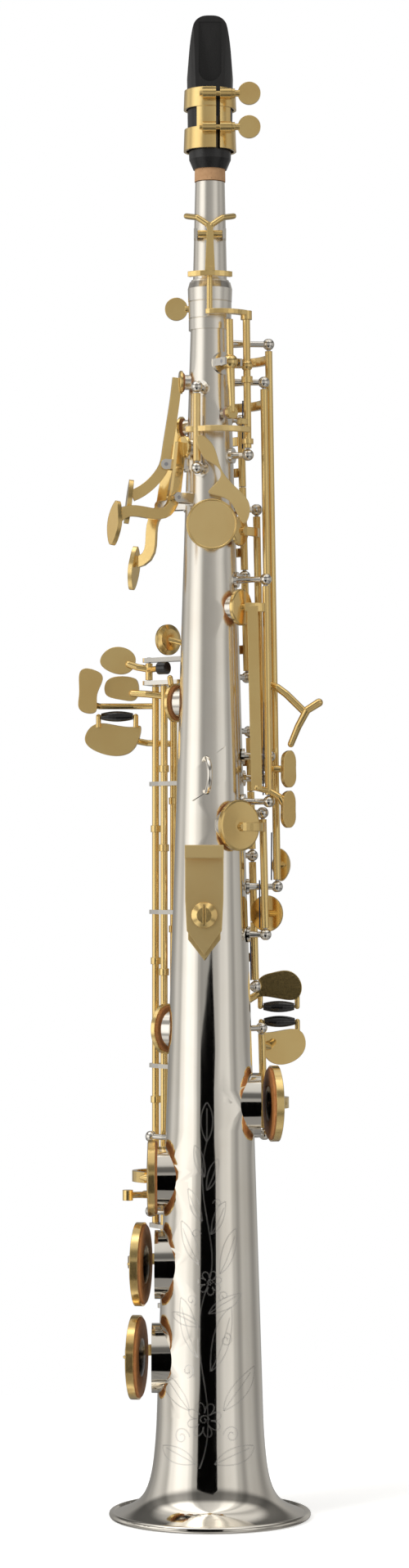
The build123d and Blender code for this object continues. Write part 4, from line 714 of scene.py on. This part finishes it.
def make_springs(frame, finish):
    """Blued needle spring beside the lower end of every upright hinge that is long enough for one."""
    bm = bmesh.new()
    for joint in frame["joints"]:
        line = Vector(joint["axis"]).normalized()
        if not joint["child"].endswith(("_key", "_lever", "_rocker")) or abs(line.z) < UPRIGHT:
            continue
        low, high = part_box(joint["child"])
        if high[2] - low[2] < SPRING_LENGTH + 2 * SPRING_FOOT:
            continue
        if line.z < 0:
            line = -line
        pivot = Vector(joint["pos_m"])
        inward = Vector((-pivot.x, -pivot.y, 0)).normalized()
        foot = pivot + line * SPRING_FOOT + inward * SPRING_OFFSET
        tip = foot + line * SPRING_LENGTH - inward * SPRING_LEAN
        add_wire(bm, foot, tip)
    mesh_object("needle_springs", bm, finish, ROOT)


# ---------------------------------------------------------------- stage, light and camera
def studio_ramp(world, share, stops, tint):
    """Colour ramp through (position from 0 to 1, brightness) stops."""
    ramp = world.add("ShaderNodeValToRGB")
    ramp.color_ramp.interpolation = "EASE"
    elements = ramp.color_ramp.elements
    while len(elements) > 1:
        elements.remove(elements[0])
    elements[0].position = 0.0
    for position, value in stops:
        element = elements[0] if position == 0 else elements.new(position)
        element.color = (*(value * channel for channel in tint), 1.0)
    world.link(share, ramp.inputs["Fac"])
    return ramp.outputs["Color"]


def make_world():
    """Studio of soft panels, its brightness set by direction; the camera itself sees white paper."""
    studio = bpy.data.worlds.new("studio")
    bpy.context.scene.world = studio
    world = Nodes(studio)
    direction = world.add("ShaderNodeTexCoord").outputs["Generated"]
    split = world.add("ShaderNodeSeparateXYZ")
    world.link(direction, split.inputs[0])
    x, y, z = split.outputs
    azimuth = world.math("ARCTAN2", x, world.math("MULTIPLY", y, -1.0))
    share = world.math("ADD", world.math("DIVIDE", azimuth, 2 * math.pi), 0.5)
    around = [(angle / 360 + 0.5, brightness) for angle, brightness in STUDIO_PANELS]
    panels = studio_ramp(world, share, around, PANEL_TINT)
    height = world.math("ADD", world.math("MULTIPLY", z, 0.5), 0.5)
    upward = [(sine / 2 + 0.5, gain) for sine, gain in STUDIO_LEVELS]
    levels = studio_ramp(world, height, upward, WHITE)
    lit = world.add("ShaderNodeBackground")
    world.link(panels, lit.inputs["Color"])
    world.link(levels, lit.inputs["Strength"])
    paper = world.add("ShaderNodeBackground")
    paper.inputs["Color"].default_value = (*WHITE, 1.0)
    mix = world.add("ShaderNodeMixShader")
    world.link(world.add("ShaderNodeLightPath").outputs["Is Camera Ray"], mix.inputs[0])
    world.link(lit.outputs[0], mix.inputs[1])
    world.link(paper.outputs[0], mix.inputs[2])
    output = world.add("ShaderNodeOutputWorld")
    world.link(mix.outputs[0], output.inputs["Surface"])


def make_flag():
    """Dark card that draws the black stripe in the polished tube."""
    outline = (
        (FLAG_LEFT, FLAG_FOOT_Z), (FLAG_RIGHT, FLAG_FOOT_Z), (FLAG_RIGHT, FLAG_SHOULDER_Z),
        (FLAG_TIP_X, FLAG_TIP_Z), (FLAG_LEFT, FLAG_SHOULDER_Z),
    )
    mesh = bpy.data.meshes.new("dark_flag")
    mesh.from_pydata([(x, -FLAG_DISTANCE, z) for x, z in outline], [], [tuple(range(len(outline)))])
    card = add_object("dark_flag", mesh)
    card.visible_camera = False
    card.visible_diffuse = False
    card.visible_shadow = False
    card.visible_transmission = False
    shader = Shader("flag_cloth")
    cloth = shader.noise(800.0, 2.0)
    shader.colour(shader.blend(cloth, (0.0005, 0.0005, 0.0005), (0.002, 0.002, 0.002)))
    shader.set(Roughness=1.0, Specular_IOR_Level=0.0)
    mesh.materials.append(shader.material)


def make_floor():
    """Pale floor that fades into the paper background."""
    bm = bmesh.new()
    bmesh.ops.create_circle(bm, cap_ends=True, segments=FLOOR_SIDES, radius=FLOOR_RADIUS)
    mesh = bpy.data.meshes.new("floor")
    bm.to_mesh(mesh)
    bm.free()
    floor = add_object("floor", mesh)
    floor.location.z = -FLOOR_DROP
    floor.visible_glossy = False
    shader = Shader("floor_paper")
    shader.set(Roughness=0.9)
    fibres = shader.noise(300.0, 4.0)
    shader.colour(shader.blend(fibres, (0.95, 0.95, 0.945), (0.98, 0.98, 0.975)))
    shader.set(Emission_Color=(*WHITE, 1.0), Emission_Strength=FLOOR_GLOW)
    length = shader.add("ShaderNodeVectorMath", operation="LENGTH")
    shader.link(shader.place, length.inputs[0])
    fade = shader.ramp(length.outputs["Value"], FLOOR_FADE_START, FLOOR_FADE_END, 0.0, 1.0)
    clear = shader.add("ShaderNodeBsdfTransparent")
    mix = shader.add("ShaderNodeMixShader")
    shader.link(fade, mix.inputs[0])
    shader.link(shader.bsdf.outputs["BSDF"], mix.inputs[1])
    shader.link(clear.outputs[0], mix.inputs[2])
    shader.link(mix.outputs[0], shader.output.inputs["Surface"])
    mesh.materials.append(shader.material)


def make_lights():
    """Key and fill panels for the diffuse light, seen in no reflection."""
    for name, place, size, power in LIGHT_PANELS:
        light = bpy.data.lights.new(name, "AREA")
        light.shape = "RECTANGLE"
        light.size = size * LIGHT_WIDTH
        light.size_y = size * LIGHT_LENGTH
        light.energy = power
        lamp = add_object(name, light)
        lamp.location = place
        lamp.visible_glossy = False
        aim = Vector((0, 0, LIGHT_AIM_HEIGHT)) - lamp.location
        lamp.rotation_euler = aim.to_track_quat("-Z", "Y").to_euler()


def make_camera():
    """Camera on the player's side, level, with the lens shifted to frame the whole instrument."""
    camera = bpy.data.cameras.new("camera")
    camera.lens = CAMERA_LENS
    camera.sensor_width = CAMERA_SENSOR
    camera.shift_x = CAMERA_SHIFT_X
    camera.shift_y = CAMERA_SHIFT_Y
    camera.clip_start = CAMERA_NEAR
    eye = add_object("camera", camera)
    eye.location = (0.0, -CAMERA_DISTANCE, CAMERA_HEIGHT)
    eye.rotation_euler = (math.radians(90), 0.0, 0.0)
    bpy.context.scene.camera = eye


def main():
    """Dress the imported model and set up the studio."""
    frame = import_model()
    finishes = make_materials()
    paint_nodes(frame["nodes"], finishes)
    make_engraving(frame["nodes"], finishes["cut"])
    make_thumb_rest_rim(finishes["gold"])
    make_springs(frame, finishes["spring"])
    make_world()
    make_flag()
    make_floor()
    make_lights()
    make_camera()
    bpy.context.scene.view_settings.view_transform = "Standard"


main()
